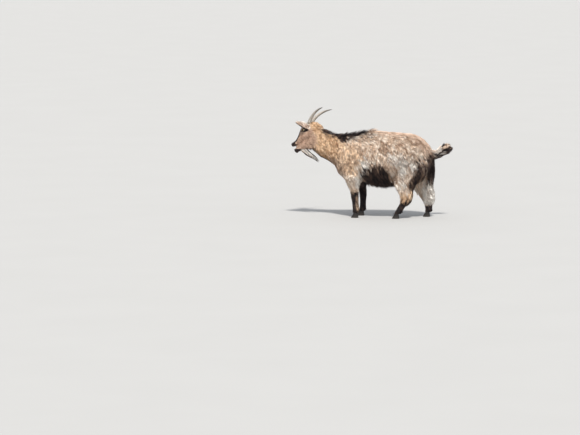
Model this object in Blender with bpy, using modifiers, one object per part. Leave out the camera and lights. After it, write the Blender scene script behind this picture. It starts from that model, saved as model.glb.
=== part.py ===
"""A bearded, horned goat of the old British hill type, standing still, at life size.

The flesh is laid up as lofts of oval rings, drawn in side view, fused into one body
and parted at the joints into named pieces. Horns, eyes, ears, beard and hoof claws are
solids of their own, each let into a socket in the flesh. The outline is that of the coat.
The nose points to -Y, the goat's left side is +X and the hooves stand on z = 0.
"""

import math

import bmesh
import bpy
import numpy as np
from mathutils import Matrix, Vector

# Sizes of the whole animal, in metres.
GAP = 0.0003
HOOF_HEIGHT = 0.036
HOOF_LENGTH = 0.058
CLAW_HALF_WIDTH = 0.0118
CLAW_APART = 0.0216
TOE_AHEAD = 0.011
FORE_STANCE = 0.088
HIND_STANCE = 0.096

# The head: a head unit in metres, and how the head is carried.
HEAD_SCALE = 0.00106
HEAD_PITCH = math.radians(32)
HEAD_YAW = math.radians(-9)
HEAD_ROLL = math.radians(-8)
MOUTH_OPEN = math.radians(10)
POLL = Vector((0.0, -0.452, 0.737))
JAW_HINGE = (62.0, -42.0)

EYE_RADIUS = 0.0135
EYE_PLACE = (87.0, 41.5, -23.0)

HORN_ROOT = (42.0, 21.0, 2.0)
HORN_LENGTH = 0.218
HORN_THICKNESS = 0.0155
HORN_RISE = math.radians(42)
HORN_FALL = math.radians(-20)
HORN_SPLAY = math.radians(27)

EAR_LENGTH = 0.128
EAR_WIDTH = 0.025
EAR_ROOT = (44.0, 38.0, -38.0)
EAR_TO_TIP = Vector((58.0, -100.0, 45.0))

# How finely the flesh is fused, and how many triangles it keeps.
FUSE_SIZE = 0.004
FLESH_TRIANGLES = 4000
RING_SIDES = 24

# Each ring of the flesh: the front or top point and the back or bottom point in side
# view (y, z), then half the width. Rings run from one end of the piece to the other.
# A leg's rings end with how far the ring stands in from the line of the hoof.
TRUNK = (
    (-0.266, 0.500, -0.286, 0.405, 0.040),
    (-0.225, 0.592, -0.262, 0.330, 0.086),
    (-0.160, 0.650, -0.200, 0.275, 0.120),
    (-0.080, 0.671, -0.110, 0.258, 0.140),
    (0.020, 0.677, 0.000, 0.250, 0.158),
    (0.120, 0.669, 0.110, 0.248, 0.176),
    (0.220, 0.661, 0.210, 0.278, 0.172),
    (0.310, 0.656, 0.300, 0.322, 0.154),
    (0.380, 0.632, 0.372, 0.345, 0.130),
    (0.440, 0.580, 0.432, 0.370, 0.098),
    (0.484, 0.512, 0.480, 0.412, 0.052),
)
NECK = (
    (-0.100, 0.668, -0.160, 0.300, 0.100),
    (-0.185, 0.654, -0.275, 0.375, 0.094),
    (-0.245, 0.648, -0.326, 0.424, 0.080),
    (-0.320, 0.660, -0.394, 0.456, 0.068),
    (-0.385, 0.690, -0.448, 0.494, 0.060),
    (-0.430, 0.720, -0.470, 0.530, 0.054),
    (-0.455, 0.730, -0.470, 0.590, 0.046),
)
TAIL = (
    (0.425, 0.545, 0.455, 0.455, 0.030),
    (0.458, 0.530, 0.482, 0.455, 0.032),
    (0.498, 0.530, 0.518, 0.464, 0.036),
    (0.538, 0.554, 0.558, 0.489, 0.036),
    (0.580, 0.588, 0.598, 0.511, 0.034),
    (0.614, 0.594, 0.622, 0.534, 0.020),
)
LEFT_FORELEG = (
    (-0.225, 0.460, -0.060, 0.460, 0.046, 0.022),
    (-0.222, 0.365, -0.050, 0.375, 0.052, 0.008),
    (-0.196, 0.292, -0.060, 0.300, 0.046, 0.002),
    (-0.170, 0.238, -0.082, 0.240, 0.036, 0.000),
    (-0.153, 0.198, -0.088, 0.198, 0.030, 0.000),
    (-0.150, 0.170, -0.089, 0.168, 0.028, 0.000),
    (-0.142, 0.132, -0.088, 0.130, 0.024, 0.000),
    (-0.137, 0.090, -0.084, 0.088, 0.023, 0.000),
    (-0.135, 0.060, -0.078, 0.054, 0.025, 0.000),
    (-0.136, 0.036, -0.087, 0.030, 0.023, 0.000),
    (-0.137, 0.022, -0.092, 0.020, 0.020, 0.000),
)
RIGHT_FORELEG = (
    (-0.215, 0.460, -0.050, 0.460, 0.046, 0.022),
    (-0.205, 0.365, -0.040, 0.375, 0.052, 0.008),
    (-0.172, 0.292, -0.045, 0.300, 0.046, 0.002),
    (-0.138, 0.238, -0.054, 0.240, 0.036, 0.000),
    (-0.117, 0.198, -0.055, 0.198, 0.030, 0.000),
    (-0.112, 0.170, -0.055, 0.168, 0.028, 0.000),
    (-0.108, 0.132, -0.058, 0.130, 0.024, 0.000),
    (-0.109, 0.090, -0.060, 0.088, 0.023, 0.000),
    (-0.110, 0.060, -0.059, 0.054, 0.025, 0.000),
    (-0.117, 0.036, -0.070, 0.030, 0.023, 0.000),
    (-0.120, 0.022, -0.075, 0.020, 0.020, 0.000),
)
LEFT_HIND_LEG = (
    (0.220, 0.600, 0.420, 0.585, 0.030, 0.062),
    (0.180, 0.500, 0.462, 0.490, 0.054, 0.032),
    (0.160, 0.395, 0.478, 0.405, 0.062, 0.010),
    (0.168, 0.335, 0.425, 0.335, 0.056, 0.002),
    (0.190, 0.275, 0.365, 0.272, 0.045, 0.000),
    (0.215, 0.230, 0.343, 0.222, 0.035, 0.000),
    (0.240, 0.192, 0.336, 0.178, 0.030, 0.000),
    (0.252, 0.158, 0.324, 0.146, 0.027, 0.000),
    (0.240, 0.124, 0.296, 0.110, 0.023, 0.000),
    (0.219, 0.088, 0.268, 0.074, 0.021, 0.000),
    (0.203, 0.060, 0.256, 0.046, 0.025, 0.000),
    (0.191, 0.038, 0.240, 0.028, 0.023, 0.000),
    (0.186, 0.022, 0.232, 0.020, 0.020, 0.000),
)
RIGHT_HIND_LEG = (
    (0.230, 0.600, 0.425, 0.585, 0.030, 0.062),
    (0.200, 0.500, 0.470, 0.490, 0.054, 0.032),
    (0.190, 0.395, 0.488, 0.405, 0.060, 0.010),
    (0.232, 0.335, 0.478, 0.335, 0.053, 0.002),
    (0.272, 0.275, 0.470, 0.272, 0.045, 0.000),
    (0.308, 0.230, 0.472, 0.222, 0.038, 0.000),
    (0.342, 0.192, 0.482, 0.178, 0.033, 0.000),
    (0.366, 0.158, 0.480, 0.146, 0.029, 0.000),
    (0.384, 0.124, 0.470, 0.112, 0.025, 0.000),
    (0.402, 0.088, 0.464, 0.076, 0.022, 0.000),
    (0.408, 0.060, 0.464, 0.048, 0.025, 0.000),
    (0.403, 0.038, 0.452, 0.028, 0.023, 0.000),
    (0.399, 0.022, 0.446, 0.020, 0.020, 0.000),
)

# The head is drawn in its own side view, with the line of the skull level: forward from
# the poll, then up, in head units of HEAD_SCALE metres. The jaw is drawn shut.
SKULL = (
    (-16.0, -24.0, 0.0, -94.0, 44.0),
    (0.0, -2.0, 22.0, -114.0, 50.0),
    (28.0, 15.0, 48.0, -122.0, 54.0),
    (62.0, 24.0, 70.0, -120.0, 56.0),
    (90.0, 21.0, 95.0, -108.0, 56.0),
    (115.0, 8.0, 118.0, -98.0, 46.0),
    (140.0, -11.0, 142.0, -94.0, 38.5),
    (165.0, -31.0, 168.0, -93.0, 33.5),
    (190.0, -45.5, 193.0, -90.0, 30.5),
    (212.0, -49.0, 216.0, -85.0, 28.5),
    (230.0, -48.5, 234.0, -78.0, 24.5),
    (241.0, -54.0, 243.0, -68.0, 13.0),
)
LOWER_JAW = (
    (42.0, -62.0, 38.0, -126.0, 32.0),
    (64.0, -60.0, 64.0, -148.0, 37.0),
    (95.0, -62.0, 99.0, -161.0, 36.0),
    (130.0, -64.0, 134.0, -157.0, 31.0),
    (165.0, -64.0, 168.0, -134.0, 26.0),
    (198.0, -64.0, 199.0, -115.0, 22.0),
    (224.0, -64.0, 220.0, -107.0, 19.0),
    (239.0, -67.0, 235.0, -102.0, 15.0),
    (246.0, -74.0, 242.0, -95.0, 8.0),
)
BEARD = (
    (209.8, -97.2, 166.6, -117.0, 11.0),
    (207.2, -128.1, 162.6, -146.1, 13.0),
    (201.9, -161.5, 155.7, -175.8, 12.0),
    (189.3, -188.1, 152.3, -202.8, 10.5),
    (178.4, -212.4, 149.3, -231.7, 8.5),
    (170.5, -237.1, 146.8, -252.5, 6.0),
    (162.2, -265.0, 150.8, -269.0, 3.0),
)

# Where the flesh is parted, in side view (y, z); the mouth's cell is in head units.
IN_FRONT_OF_NAPE = ((-0.383, 0.745), (-0.460, 0.500), (-0.800, 0.300), (-0.700, 0.900))
IN_FRONT_OF_CHEST = ((-0.195, 0.700), (-0.305, 0.395), (-0.600, 0.300), (-0.600, 0.800))
BEHIND_DOCK = ((0.455, 0.580), (0.497, 0.455), (0.700, 0.455), (0.700, 0.700))
UNDER_MOUTH = ((38.0, -84.0), (270.0, -89.5), (270.0, -200.0), (38.0, -200.0))

# A leg's cuts: height inside at the body, height outside, height of knee or hock.
FORELEG_CUTS = (0.270, 0.390, 0.172)
HIND_LEG_CUTS = (0.320, 0.470, 0.168)

# Each kind of piece: colour (linear) and roughness.
LOOKS = {
    "trunk": ((0.55, 0.38, 0.24), 0.80),
    "neck": ((0.50, 0.29, 0.15), 0.80),
    "head": ((0.30, 0.20, 0.14), 0.75),
    "jaw": ((0.10, 0.07, 0.06), 0.75),
    "tail": ((0.03, 0.02, 0.02), 0.75),
    "beard": ((0.50, 0.42, 0.34), 0.75),
    "upper": ((0.50, 0.36, 0.24), 0.80),
    "lower": ((0.02, 0.015, 0.013), 0.75),
    "ear": ((0.62, 0.52, 0.42), 0.80),
    "horn": ((0.34, 0.31, 0.27), 0.55),
    "hoof": ((0.03, 0.027, 0.025), 0.50),
    "eye": ((0.45, 0.27, 0.08), 0.05),
}


def clear_scene():
    for thing in list(bpy.data.objects):
        bpy.data.objects.remove(thing, do_unlink=True)


def new_collection(name, hidden=False):
    collection = bpy.data.collections.new(name)
    bpy.context.scene.collection.children.link(collection)
    collection.hide_render = hidden
    return collection


def new_material(name, colour, roughness):
    material = bpy.data.materials.new(name)
    material.use_nodes = True
    shader = material.node_tree.nodes["Principled BSDF"]
    shader.inputs["Base Color"].default_value = (*colour, 1.0)
    shader.inputs["Roughness"].default_value = roughness
    shader.inputs["Metallic"].default_value = 0.0
    return material


def new_object(name, mesh, collection):
    thing = bpy.data.objects.new(name, mesh)
    collection.objects.link(thing)
    return thing


def cutter_object(name, mesh, cutters):
    """A tool for a Boolean, drawn as wires and left out of renders."""
    thing = new_object(name, mesh, cutters)
    thing.hide_render = True
    thing.display_type = "WIRE"
    return thing


def eased(rows, steps):
    """Rows of ring sizes with smooth rows between them, by Catmull-Rom."""
    rows = np.array(rows, dtype=float)
    padded = np.vstack([2 * rows[0] - rows[1], rows, 2 * rows[-1] - rows[-2]])
    result = []
    for i in range(1, len(padded) - 2):
        before, here, there, after = padded[i - 1 : i + 3]
        for step in range(steps):
            t = step / steps
            result.append(
                0.5
                * (
                    2 * here
                    + (there - before) * t
                    + (2 * before - 5 * here + 4 * there - after) * t**2
                    + (3 * here - before - 3 * there + after) * t**3
                )
            )
    result.append(rows[-1])
    return result


def close_loft(rings):
    """A closed mesh through rings of points, with a flat cap at each end."""
    shape = bmesh.new()
    loops = [[shape.verts.new(point) for point in ring] for ring in rings]
    count = len(loops[0])
    for low, high in zip(loops, loops[1:]):
        for k in range(count):
            nxt = (k + 1) % count
            shape.faces.new((low[k], low[nxt], high[nxt], high[k]))
    shape.faces.new(loops[0][::-1])
    shape.faces.new(loops[-1])
    bmesh.ops.recalc_face_normals(shape, faces=shape.faces)
    mesh = bpy.data.meshes.new("loft")
    shape.to_mesh(mesh)
    shape.free()
    return mesh


def oval_loft(rows, middle=0.0, lower_width=1.0, steps=3, sides=RING_SIDES):
    """A body of oval rings. lower_width is the width of the lower half against the
    upper one, and middle is how far to the left the body stands."""
    rings = []
    for top_y, top_z, low_y, low_z, half_width, *inward in eased(rows, steps):
        x = middle - math.copysign(sum(inward), middle)
        centre = Vector((x, (top_y + low_y) / 2, (top_z + low_z) / 2))
        half = Vector((0.0, (top_y - low_y) / 2, (top_z - low_z) / 2))
        ring = []
        for k in range(sides):
            turn = 2 * math.pi * k / sides
            up = math.cos(turn)
            taper = (1 + lower_width) / 2 + (1 - lower_width) / 2 * up
            across = Vector((half_width * taper * math.sin(turn), 0.0, 0.0))
            ring.append(centre + half * up + across)
        rings.append(ring)
    return close_loft(rings)


def head_frame():
    """From the head's own side view to the goat: turned down, then carried."""
    unit = Matrix.Scale(HEAD_SCALE, 4)
    pitch = Matrix.Rotation(HEAD_PITCH, 4, "X")
    roll = Matrix.Rotation(HEAD_ROLL, 4, "Y")
    yaw = Matrix.Rotation(HEAD_YAW, 4, "Z")
    return Matrix.Translation(POLL) @ yaw @ roll @ pitch @ unit


def head_rows(rows, opened=0.0):
    """Head rings as (y, z) rows, with the jaw swung down about its hinge by opened."""
    turned = []
    for row in rows:
        points = []
        for forward, up in (row[0:2], row[2:4]):
            ahead = forward - JAW_HINGE[0]
            above = up - JAW_HINGE[1]
            swung_ahead = ahead * math.cos(opened) + above * math.sin(opened)
            swung_above = above * math.cos(opened) - ahead * math.sin(opened)
            points += [-(swung_ahead + JAW_HINGE[0]), swung_above + JAW_HINGE[1]]
        turned.append((*points, row[4]))
    return turned


def in_head(forward, left, up):
    """A point of the goat from the head's own units."""
    return head_frame() @ Vector((left, -forward, up))


def fused(meshes, name, collection):
    """One skin round all the meshes, evened out and thinned to FLESH_TRIANGLES."""
    shape = bmesh.new()
    for mesh in meshes:
        shape.from_mesh(mesh)
    joined = bpy.data.meshes.new(name)
    shape.to_mesh(joined)
    shape.free()
    thing = new_object(name, joined, collection)
    fuse = thing.modifiers.new("fuse", "REMESH")
    fuse.mode = "VOXEL"
    fuse.voxel_size = FUSE_SIZE
    ease = thing.modifiers.new("ease", "SMOOTH")
    ease.factor = 0.6
    ease.iterations = 6
    bake_modifiers(thing)
    thin = thing.modifiers.new("thin", "DECIMATE")
    thin.ratio = FLESH_TRIANGLES / (2 * len(thing.data.polygons))
    bake_modifiers(thing)
    return thing


def bake_modifiers(thing):
    """Puts what the modifiers make into the object's own mesh."""
    graph = bpy.context.evaluated_depsgraph_get()
    mesh = bpy.data.meshes.new_from_object(thing.evaluated_get(graph))
    thing.modifiers.clear()
    thing.data = mesh


def boolean(thing, tool, operation):
    cut = thing.modifiers.new(operation.lower(), "BOOLEAN")
    cut.operation = operation
    cut.object = tool
    bake_modifiers(thing)


def cell_mesh(corners, grow=0.0):
    """The block that spans the corners, grown all round by grow."""
    shape = bmesh.new()
    middle = sum((Vector(c) for c in corners), Vector()) / len(corners)
    for corner in corners:
        away = Vector(corner) - middle
        shape.verts.new(Vector(corner) + away.normalized() * grow * 2)
    bmesh.ops.convex_hull(shape, input=shape.verts)
    bmesh.ops.recalc_face_normals(shape, faces=shape.faces)
    mesh = bpy.data.meshes.new("cell")
    shape.to_mesh(mesh)
    shape.free()
    return mesh


def part_off(body, name, corners, collection, cutters):
    """Takes what lies in the cell off the body, as a piece of its own."""
    piece = new_object(name, body.data.copy(), collection)
    boolean(piece, cutter_object(name + "_cell", cell_mesh(corners), cutters), "INTERSECT")
    wide = cutter_object(name + "_kerf", cell_mesh(corners, GAP), cutters)
    boolean(body, wide, "DIFFERENCE")
    return piece


def side_cell(outline, reach):
    """Corners of a cell drawn in side view (y, z) and carried across the x of reach."""
    return [(x, y, z) for y, z in outline for x in reach]


def horn_mesh(side):
    """A slim horn, flat-sided and ringed, that rises, sweeps back and spreads."""
    frame = head_frame()
    stations = 16
    # HORN_RISE at the root and HORN_FALL at the tip are up from the line of the skull.
    place = Vector((side * HORN_ROOT[1], -HORN_ROOT[0], HORN_ROOT[2])) * HEAD_SCALE
    step = HORN_LENGTH / stations
    rings = []
    for i in range(stations + 1):
        t = i / stations
        rise = HORN_RISE + (HORN_FALL - HORN_RISE) * t**0.9
        spread = HORN_SPLAY * (0.55 + 0.75 * t)
        along = Vector((side * math.sin(spread), 0.0, 0.0))
        along += math.cos(spread) * Vector((0.0, math.cos(rise), math.sin(rise)))
        out = Vector((side, 0.0, 0.0))
        out = (out - along * out.dot(along)).normalized()
        fore = along.cross(out).normalized()
        taper = (1 - t) ** 0.62
        thick = max(HORN_THICKNESS * taper, 0.0012)
        ring = []
        for k in range(10):
            turn = 2 * math.pi * k / 10
            point = place + fore * thick * 1.15 * math.cos(turn) + out * thick * 0.78 * math.sin(turn)
            ring.append(frame @ (point / HEAD_SCALE))
        rings.append(ring)
        place = place + along * step
    return close_loft(rings)


def ear_mesh(side):
    """A leaf-shaped ear, cupped towards the front, narrow at its root."""
    frame = head_frame()
    root = frame @ Vector((side * EAR_ROOT[1], -EAR_ROOT[0], EAR_ROOT[2]))
    carried = Matrix.Rotation(HEAD_YAW, 3, "Z") @ Matrix.Rotation(HEAD_ROLL, 3, "Y")
    along = carried @ Vector((side * EAR_TO_TIP[0], EAR_TO_TIP[1], EAR_TO_TIP[2])).normalized()
    broad = carried @ Vector((side * -0.35, 0.25, 1.0))
    broad = (broad - along * broad.dot(along)).normalized()
    hollow = broad.cross(along).normalized() * side
    stations = 9
    sides = 12
    rings = []
    for i in range(stations + 1):
        t = i / stations
        leaf = math.sin(math.pi * min(0.16 + 0.84 * t, 0.985)) ** 0.75
        half_width = EAR_WIDTH * (0.16 + 0.84 * leaf)
        half_width *= 1.0 if t < 1 else 0.45
        half_thick = 0.0055 - 0.0022 * t
        cup = 0.55 * half_width * (1 - 0.5 * t)
        bend = 0.004 * math.sin(math.pi * t)
        middle = root + along * EAR_LENGTH * (t * 1.02 - 0.02) + broad * bend
        ring = []
        for k in range(sides):
            turn = 2 * math.pi * k / sides
            wide = math.cos(turn)
            deep = half_thick * math.sin(turn) - cup * wide**2 + cup * 0.5
            ring.append(middle + broad * half_width * wide - hollow * deep)
        rings.append(ring)
    return close_loft(rings)


def eye_mesh(side):
    mesh = bpy.data.meshes.new("eye")
    shape = bmesh.new()
    bmesh.ops.create_uvsphere(shape, u_segments=14, v_segments=8, radius=EYE_RADIUS)
    place = in_head(EYE_PLACE[0], side * EYE_PLACE[1], EYE_PLACE[2])
    bmesh.ops.translate(shape, vec=place, verts=shape.verts)
    shape.to_mesh(mesh)
    shape.free()
    return mesh


def claw_mesh(middle_x, toe_y, side):
    """One claw of a cloven hoof: flat sole, sloping toe wall, straight inner side."""
    sides = 14
    levels = ((0.0, 0.0, 1.0), (0.007, 0.003, 1.0), (HOOF_HEIGHT, 0.021, 0.86))
    rings = []
    for height, set_back, width in levels:
        front = toe_y + set_back
        back = toe_y + HOOF_LENGTH - 0.006 * height / HOOF_HEIGHT
        ring = []
        for k in range(sides):
            turn = 2 * math.pi * k / sides
            lengthwise = math.cos(turn)
            sideways = math.sin(turn)
            # Narrower at the toe than at the heel, and flat towards the other claw.
            broad = CLAW_HALF_WIDTH * width * (1.0 - 0.28 * max(lengthwise, 0.0) ** 2)
            bulge = broad if sideways * side > 0 else 0.72 * broad
            y = (front + back) / 2 - lengthwise * (back - front) / 2
            ring.append(Vector((middle_x + sideways * bulge, y, height)))
        rings.append(ring)
    return close_loft(rings)


def grown(mesh, distance):
    """A copy of a mesh with every face put out by distance."""
    shape = bmesh.new()
    shape.from_mesh(mesh)
    bmesh.ops.recalc_face_normals(shape, faces=shape.faces)
    shape.normal_update()
    outward = [v.normal * v.calc_shell_factor() * distance for v in shape.verts]
    for vertex, step in zip(shape.verts, outward):
        vertex.co += step
    copy = bpy.data.meshes.new(mesh.name)
    shape.to_mesh(copy)
    shape.free()
    return copy


def let_in(name, mesh, flesh, goat, cutters):
    """Lets a solid into a socket in the flesh that is GAP wide all round."""
    piece = new_object(name, mesh, goat)
    tool = cutter_object(name + "_socket", grown(mesh, GAP), cutters)
    boolean(flesh, tool, "DIFFERENCE")
    return piece


def beard_mesh():
    mesh = oval_loft(head_rows(BEARD, MOUTH_OPEN), lower_width=0.8, steps=2, sides=12)
    mesh.transform(head_frame())
    return mesh


def head_meshes():
    skull = oval_loft(head_rows(SKULL), lower_width=0.62)
    jaw = oval_loft(head_rows(LOWER_JAW, MOUTH_OPEN), lower_width=0.75)
    for mesh in (skull, jaw):
        mesh.transform(head_frame())
    return [skull, jaw]


def head_cell(outline, half_width):
    """Corners of a cell drawn in the head's own side view."""
    return [in_head(ahead, side * half_width, up) for ahead, up in outline for side in (-1, 1)]


def finish(piece, colour, roughness):
    """Its own material, smooth shading, and its mesh named for the piece."""
    piece.data.name = piece.name
    piece.data.materials.clear()
    piece.data.materials.append(new_material(piece.name, colour, roughness))
    for face in piece.data.polygons:
        face.use_smooth = True


def stand_in_middle(pieces):
    """Moves the goat so that the middle of its outline stands over the origin."""
    points = np.array([v.co for piece in pieces for v in piece.data.vertices])
    middle = (points.min(axis=0) + points.max(axis=0)) / 2
    for piece in pieces:
        piece.data.transform(Matrix.Translation((-middle[0], -middle[1], 0.0)))


def part_leg(name, rows, stance, trunk, goat, cutters):
    """Parts a leg at the knee or hock, then at the armpit or groin, and cuts its foot
    off level at the coronet. Returns the lower and the upper piece."""
    side = math.copysign(1, stance)
    inner, outer, knee = FORELEG_CUTS if "fore" in name else HIND_LEG_CUTS
    reach = (0.0, side * 0.3)
    toe, heel = rows[-1][0] - 0.05, rows[2][2] + 0.065
    shin = [(toe, -0.01), (heel, -0.01), (heel, knee), (toe, knee)]
    lower = part_off(trunk, "lower_" + name, side_cell(shin, reach), goat, cutters)

    # The upper cell's top slants up outward, and its front and back follow the leg.
    levels = (
        (side * 0.040, knee, rows[6][0] - 0.022, rows[5][2] + 0.030),
        (side * 0.250, knee, rows[6][0] - 0.022, rows[5][2] + 0.030),
        (side * 0.040, inner, rows[2][0] - 0.015, rows[2][2] + 0.015),
        (side * 0.250, outer, rows[2][0] - 0.015, rows[2][2] + 0.015),
    )
    corners = [(x, y, z) for x, z, ahead, behind in levels for y in (ahead, behind)]
    upper = part_off(trunk, "upper_" + name, corners, goat, cutters)

    coronet = HOOF_HEIGHT + GAP
    sole = [(toe, -0.05), (heel, -0.05), (heel, coronet), (toe, coronet)]
    tool = cutter_object("sole_" + name, cell_mesh(side_cell(sole, reach)), cutters)
    boolean(lower, tool, "DIFFERENCE")
    return lower, upper


def make_goat():
    goat = new_collection("goat")
    cutters = new_collection("cutters", hidden=True)
    legs = {
        "foreleg_left": (LEFT_FORELEG, FORE_STANCE),
        "foreleg_right": (RIGHT_FORELEG, -FORE_STANCE),
        "hind_leg_left": (LEFT_HIND_LEG, HIND_STANCE),
        "hind_leg_right": (RIGHT_HIND_LEG, -HIND_STANCE),
    }
    lofts = [
        oval_loft(TRUNK, lower_width=1.12),
        oval_loft(NECK, lower_width=0.95),
        oval_loft(TAIL),
        *head_meshes(),
    ]
    lofts += [oval_loft(rows, middle=stance) for rows, stance in legs.values()]
    trunk = fused(lofts, "trunk", goat)
    pieces = {}

    # Horns, ears, eyes and beard are let in while the flesh is whole.
    solids = {"beard": beard_mesh()}
    for side, word in ((1, "left"), (-1, "right")):
        solids["horn_" + word] = horn_mesh(side)
        solids["ear_" + word] = ear_mesh(side)
        solids["eye_" + word] = eye_mesh(side)
    for name, mesh in solids.items():
        pieces[name] = let_in(name, mesh, trunk, goat, cutters)

    # Head, then the jaw under the line of the mouth, neck and tail.
    full_width = (-0.2, 0.2)
    pieces["head"] = part_off(trunk, "head", side_cell(IN_FRONT_OF_NAPE, full_width), goat, cutters)
    under_mouth = head_cell(UNDER_MOUTH, half_width=150)
    pieces["jaw"] = part_off(pieces["head"], "jaw", under_mouth, goat, cutters)
    pieces["neck"] = part_off(trunk, "neck", side_cell(IN_FRONT_OF_CHEST, full_width), goat, cutters)
    pieces["tail"] = part_off(trunk, "tail", side_cell(BEHIND_DOCK, full_width), goat, cutters)

    for name, (rows, stance) in legs.items():
        for piece in part_leg(name, rows, stance, trunk, goat, cutters):
            pieces[piece.name] = piece
        toe = rows[-1][0] - TOE_AHEAD
        side = math.copysign(1, stance)
        for outward, which in ((1, "outer"), (-1, "inner")):
            hoof = "hoof_{}_{}".format(name, which)
            mesh = claw_mesh(stance + side * outward * CLAW_APART / 2, toe, side * outward)
            pieces[hoof] = new_object(hoof, mesh, goat)
    pieces["trunk"] = trunk

    for name, piece in pieces.items():
        finish(piece, *LOOKS[name.split("_")[0]])
    stand_in_middle(pieces.values())


clear_scene()
make_goat()
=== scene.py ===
"""A hill goat, life size, standing still with its mouth a little open.

The hide comes first, then its markings, the eyes, tongue and teeth, horns and hooves, the coat
and the beard. Metres and the goat's own frame throughout: nose towards -Y, its left side +X,
soles on Z = 0.
"""

import math

import bmesh
import bpy
import numpy as np
from mathutils import Matrix, Vector, kdtree
from mathutils.bvhtree import BVHTree


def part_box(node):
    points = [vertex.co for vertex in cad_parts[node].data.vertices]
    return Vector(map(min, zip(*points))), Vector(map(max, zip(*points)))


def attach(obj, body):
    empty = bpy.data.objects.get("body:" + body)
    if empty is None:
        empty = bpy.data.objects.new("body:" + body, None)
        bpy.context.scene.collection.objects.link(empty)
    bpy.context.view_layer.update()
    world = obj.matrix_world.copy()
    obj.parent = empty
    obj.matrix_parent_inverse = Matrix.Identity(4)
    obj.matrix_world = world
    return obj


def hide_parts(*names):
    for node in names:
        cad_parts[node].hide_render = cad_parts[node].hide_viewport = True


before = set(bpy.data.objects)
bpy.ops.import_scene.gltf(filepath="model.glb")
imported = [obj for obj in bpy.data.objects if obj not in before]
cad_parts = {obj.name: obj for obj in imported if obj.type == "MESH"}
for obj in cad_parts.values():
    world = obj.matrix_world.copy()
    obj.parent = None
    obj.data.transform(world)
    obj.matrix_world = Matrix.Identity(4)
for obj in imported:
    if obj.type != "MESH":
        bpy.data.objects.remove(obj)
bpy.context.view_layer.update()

# ---------------------------------------------------------------- the hide
# The hide is one closed skin from the lips to the tail and down to the hooves, with no seam.
# It is drawn over all the flesh solids at once, then let in by the depth of the coat that
# grows on it: a few millimetres on the face and shins, one to three centimetres on the body.

FLESH = (
    "trunk", "neck", "head", "jaw", "tail", "ear_left", "ear_right",
    "upper_foreleg_left", "upper_foreleg_right", "lower_foreleg_left", "lower_foreleg_right",
    "upper_hind_leg_left", "upper_hind_leg_right", "lower_hind_leg_left", "lower_hind_leg_right",
)
KERF = 0.001
HIDE_MESH_SIZE = 0.0074
HEAD_FINER = 4.1
HEAD_UNIT = 0.00106

head_turn = (
    Matrix.Rotation(math.radians(-9), 3, "Z")
    @ Matrix.Rotation(math.radians(-8), 3, "Y")
    @ Matrix.Rotation(math.radians(32), 3, "X")
)


def middle_of(node):
    """The middle of a solid's box."""
    low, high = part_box(node)
    return (low + high) / 2


eye_middle = {1: middle_of("eye_left"), -1: middle_of("eye_right")}
# The poll, the top of the head between the horns, is found back from the eyes.
EYES_FROM_POLL = Vector((0, -87, -23))
poll = (eye_middle[1] + eye_middle[-1]) / 2 - head_turn @ EYES_FROM_POLL * HEAD_UNIT


def in_head(forward, left, up):
    """A point given in millimetre-like head units, ahead of the poll, to the left and up."""
    return poll + head_turn @ Vector((left, -forward, up)) * HEAD_UNIT


def head_places(points):
    """The same units for many points: columns forward, left, up."""
    local = (points - np.array(poll)) @ np.array(head_turn) / HEAD_UNIT
    return np.stack([-local[:, 1], local[:, 0], local[:, 2]], axis=1)


def ramp(value, start, end):
    """0 before start, 1 after end, eased between; start may be above end."""
    t = np.clip((value - start) / (end - start), 0, 1)
    return t * t * (3 - 2 * t)


def corners_of(node, grow=0.0):
    """A solid's triangles, each side moved out by grow, so that neighbours close up."""
    shape = bmesh.new()
    shape.from_mesh(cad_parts[node].data)
    bmesh.ops.remove_doubles(shape, verts=shape.verts, dist=1e-5)
    shape.normal_update()
    corners = [[v.co + v.normal * grow for v in f.verts] for f in shape.faces]
    shape.free()
    return np.array(corners, np.float64)


def ball_corners(middle, radius):
    """A ball's triangles, for filling in between solids."""
    shape = bmesh.new()
    bmesh.ops.create_icosphere(shape, subdivisions=3, radius=radius)
    corners = np.array([[v.co + middle for v in f.verts] for f in shape.faces])
    shape.free()
    return corners


def quartered(corners):
    """Each triangle cut into four."""
    a, b, c = corners[:, 0], corners[:, 1], corners[:, 2]
    ab, bc, ca = (a + b) / 2, (b + c) / 2, (c + a) / 2
    cut = [(a, ab, ca), (ab, b, bc), (ca, bc, c), (ab, bc, ca)]
    return np.concatenate([np.stack(t, axis=1) for t in cut])


# The head is meshed finer than the body: it is drawn larger before the even mesh is laid.
along_body = np.linspace(-1.5, 1.5, 6001)
drawn_larger = 1 + (HEAD_FINER - 1) * ramp(along_body, -0.33, -0.43)
drawn_place = np.concatenate([[0], np.cumsum((drawn_larger[1:] + drawn_larger[:-1]) / 2 * 0.0005)])
HEAD_LEVEL = 0.66


def drawn_out(points):
    larger = np.interp(points[:, 1], along_body, drawn_larger)
    across, along = points[:, 0] * larger, np.interp(points[:, 1], along_body, drawn_place)
    return np.stack([across, along, (points[:, 2] - HEAD_LEVEL) * larger + HEAD_LEVEL], axis=1)


def drawn_back(points):
    along = np.interp(points[:, 1], drawn_place, along_body)
    larger = np.interp(along, along_body, drawn_larger)
    height = (points[:, 2] - HEAD_LEVEL) / larger + HEAD_LEVEL
    return np.stack([points[:, 0] / larger, along, height], axis=1)


def face_mesh(name, points, faces):
    """A mesh from arrays; faces all have the same number of corners."""
    mesh = bpy.data.meshes.new(name)
    count, sides = faces.shape
    mesh.vertices.add(len(points))
    mesh.vertices.foreach_set("co", np.ascontiguousarray(points, np.float32).reshape(-1))
    mesh.loops.add(count * sides)
    mesh.loops.foreach_set("vertex_index", np.ascontiguousarray(faces, np.int32).reshape(-1))
    mesh.polygons.add(count)
    mesh.polygons.foreach_set("loop_start", np.arange(0, count * sides, sides, dtype=np.int32))
    mesh.update(calc_edges=True)
    return mesh


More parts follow.
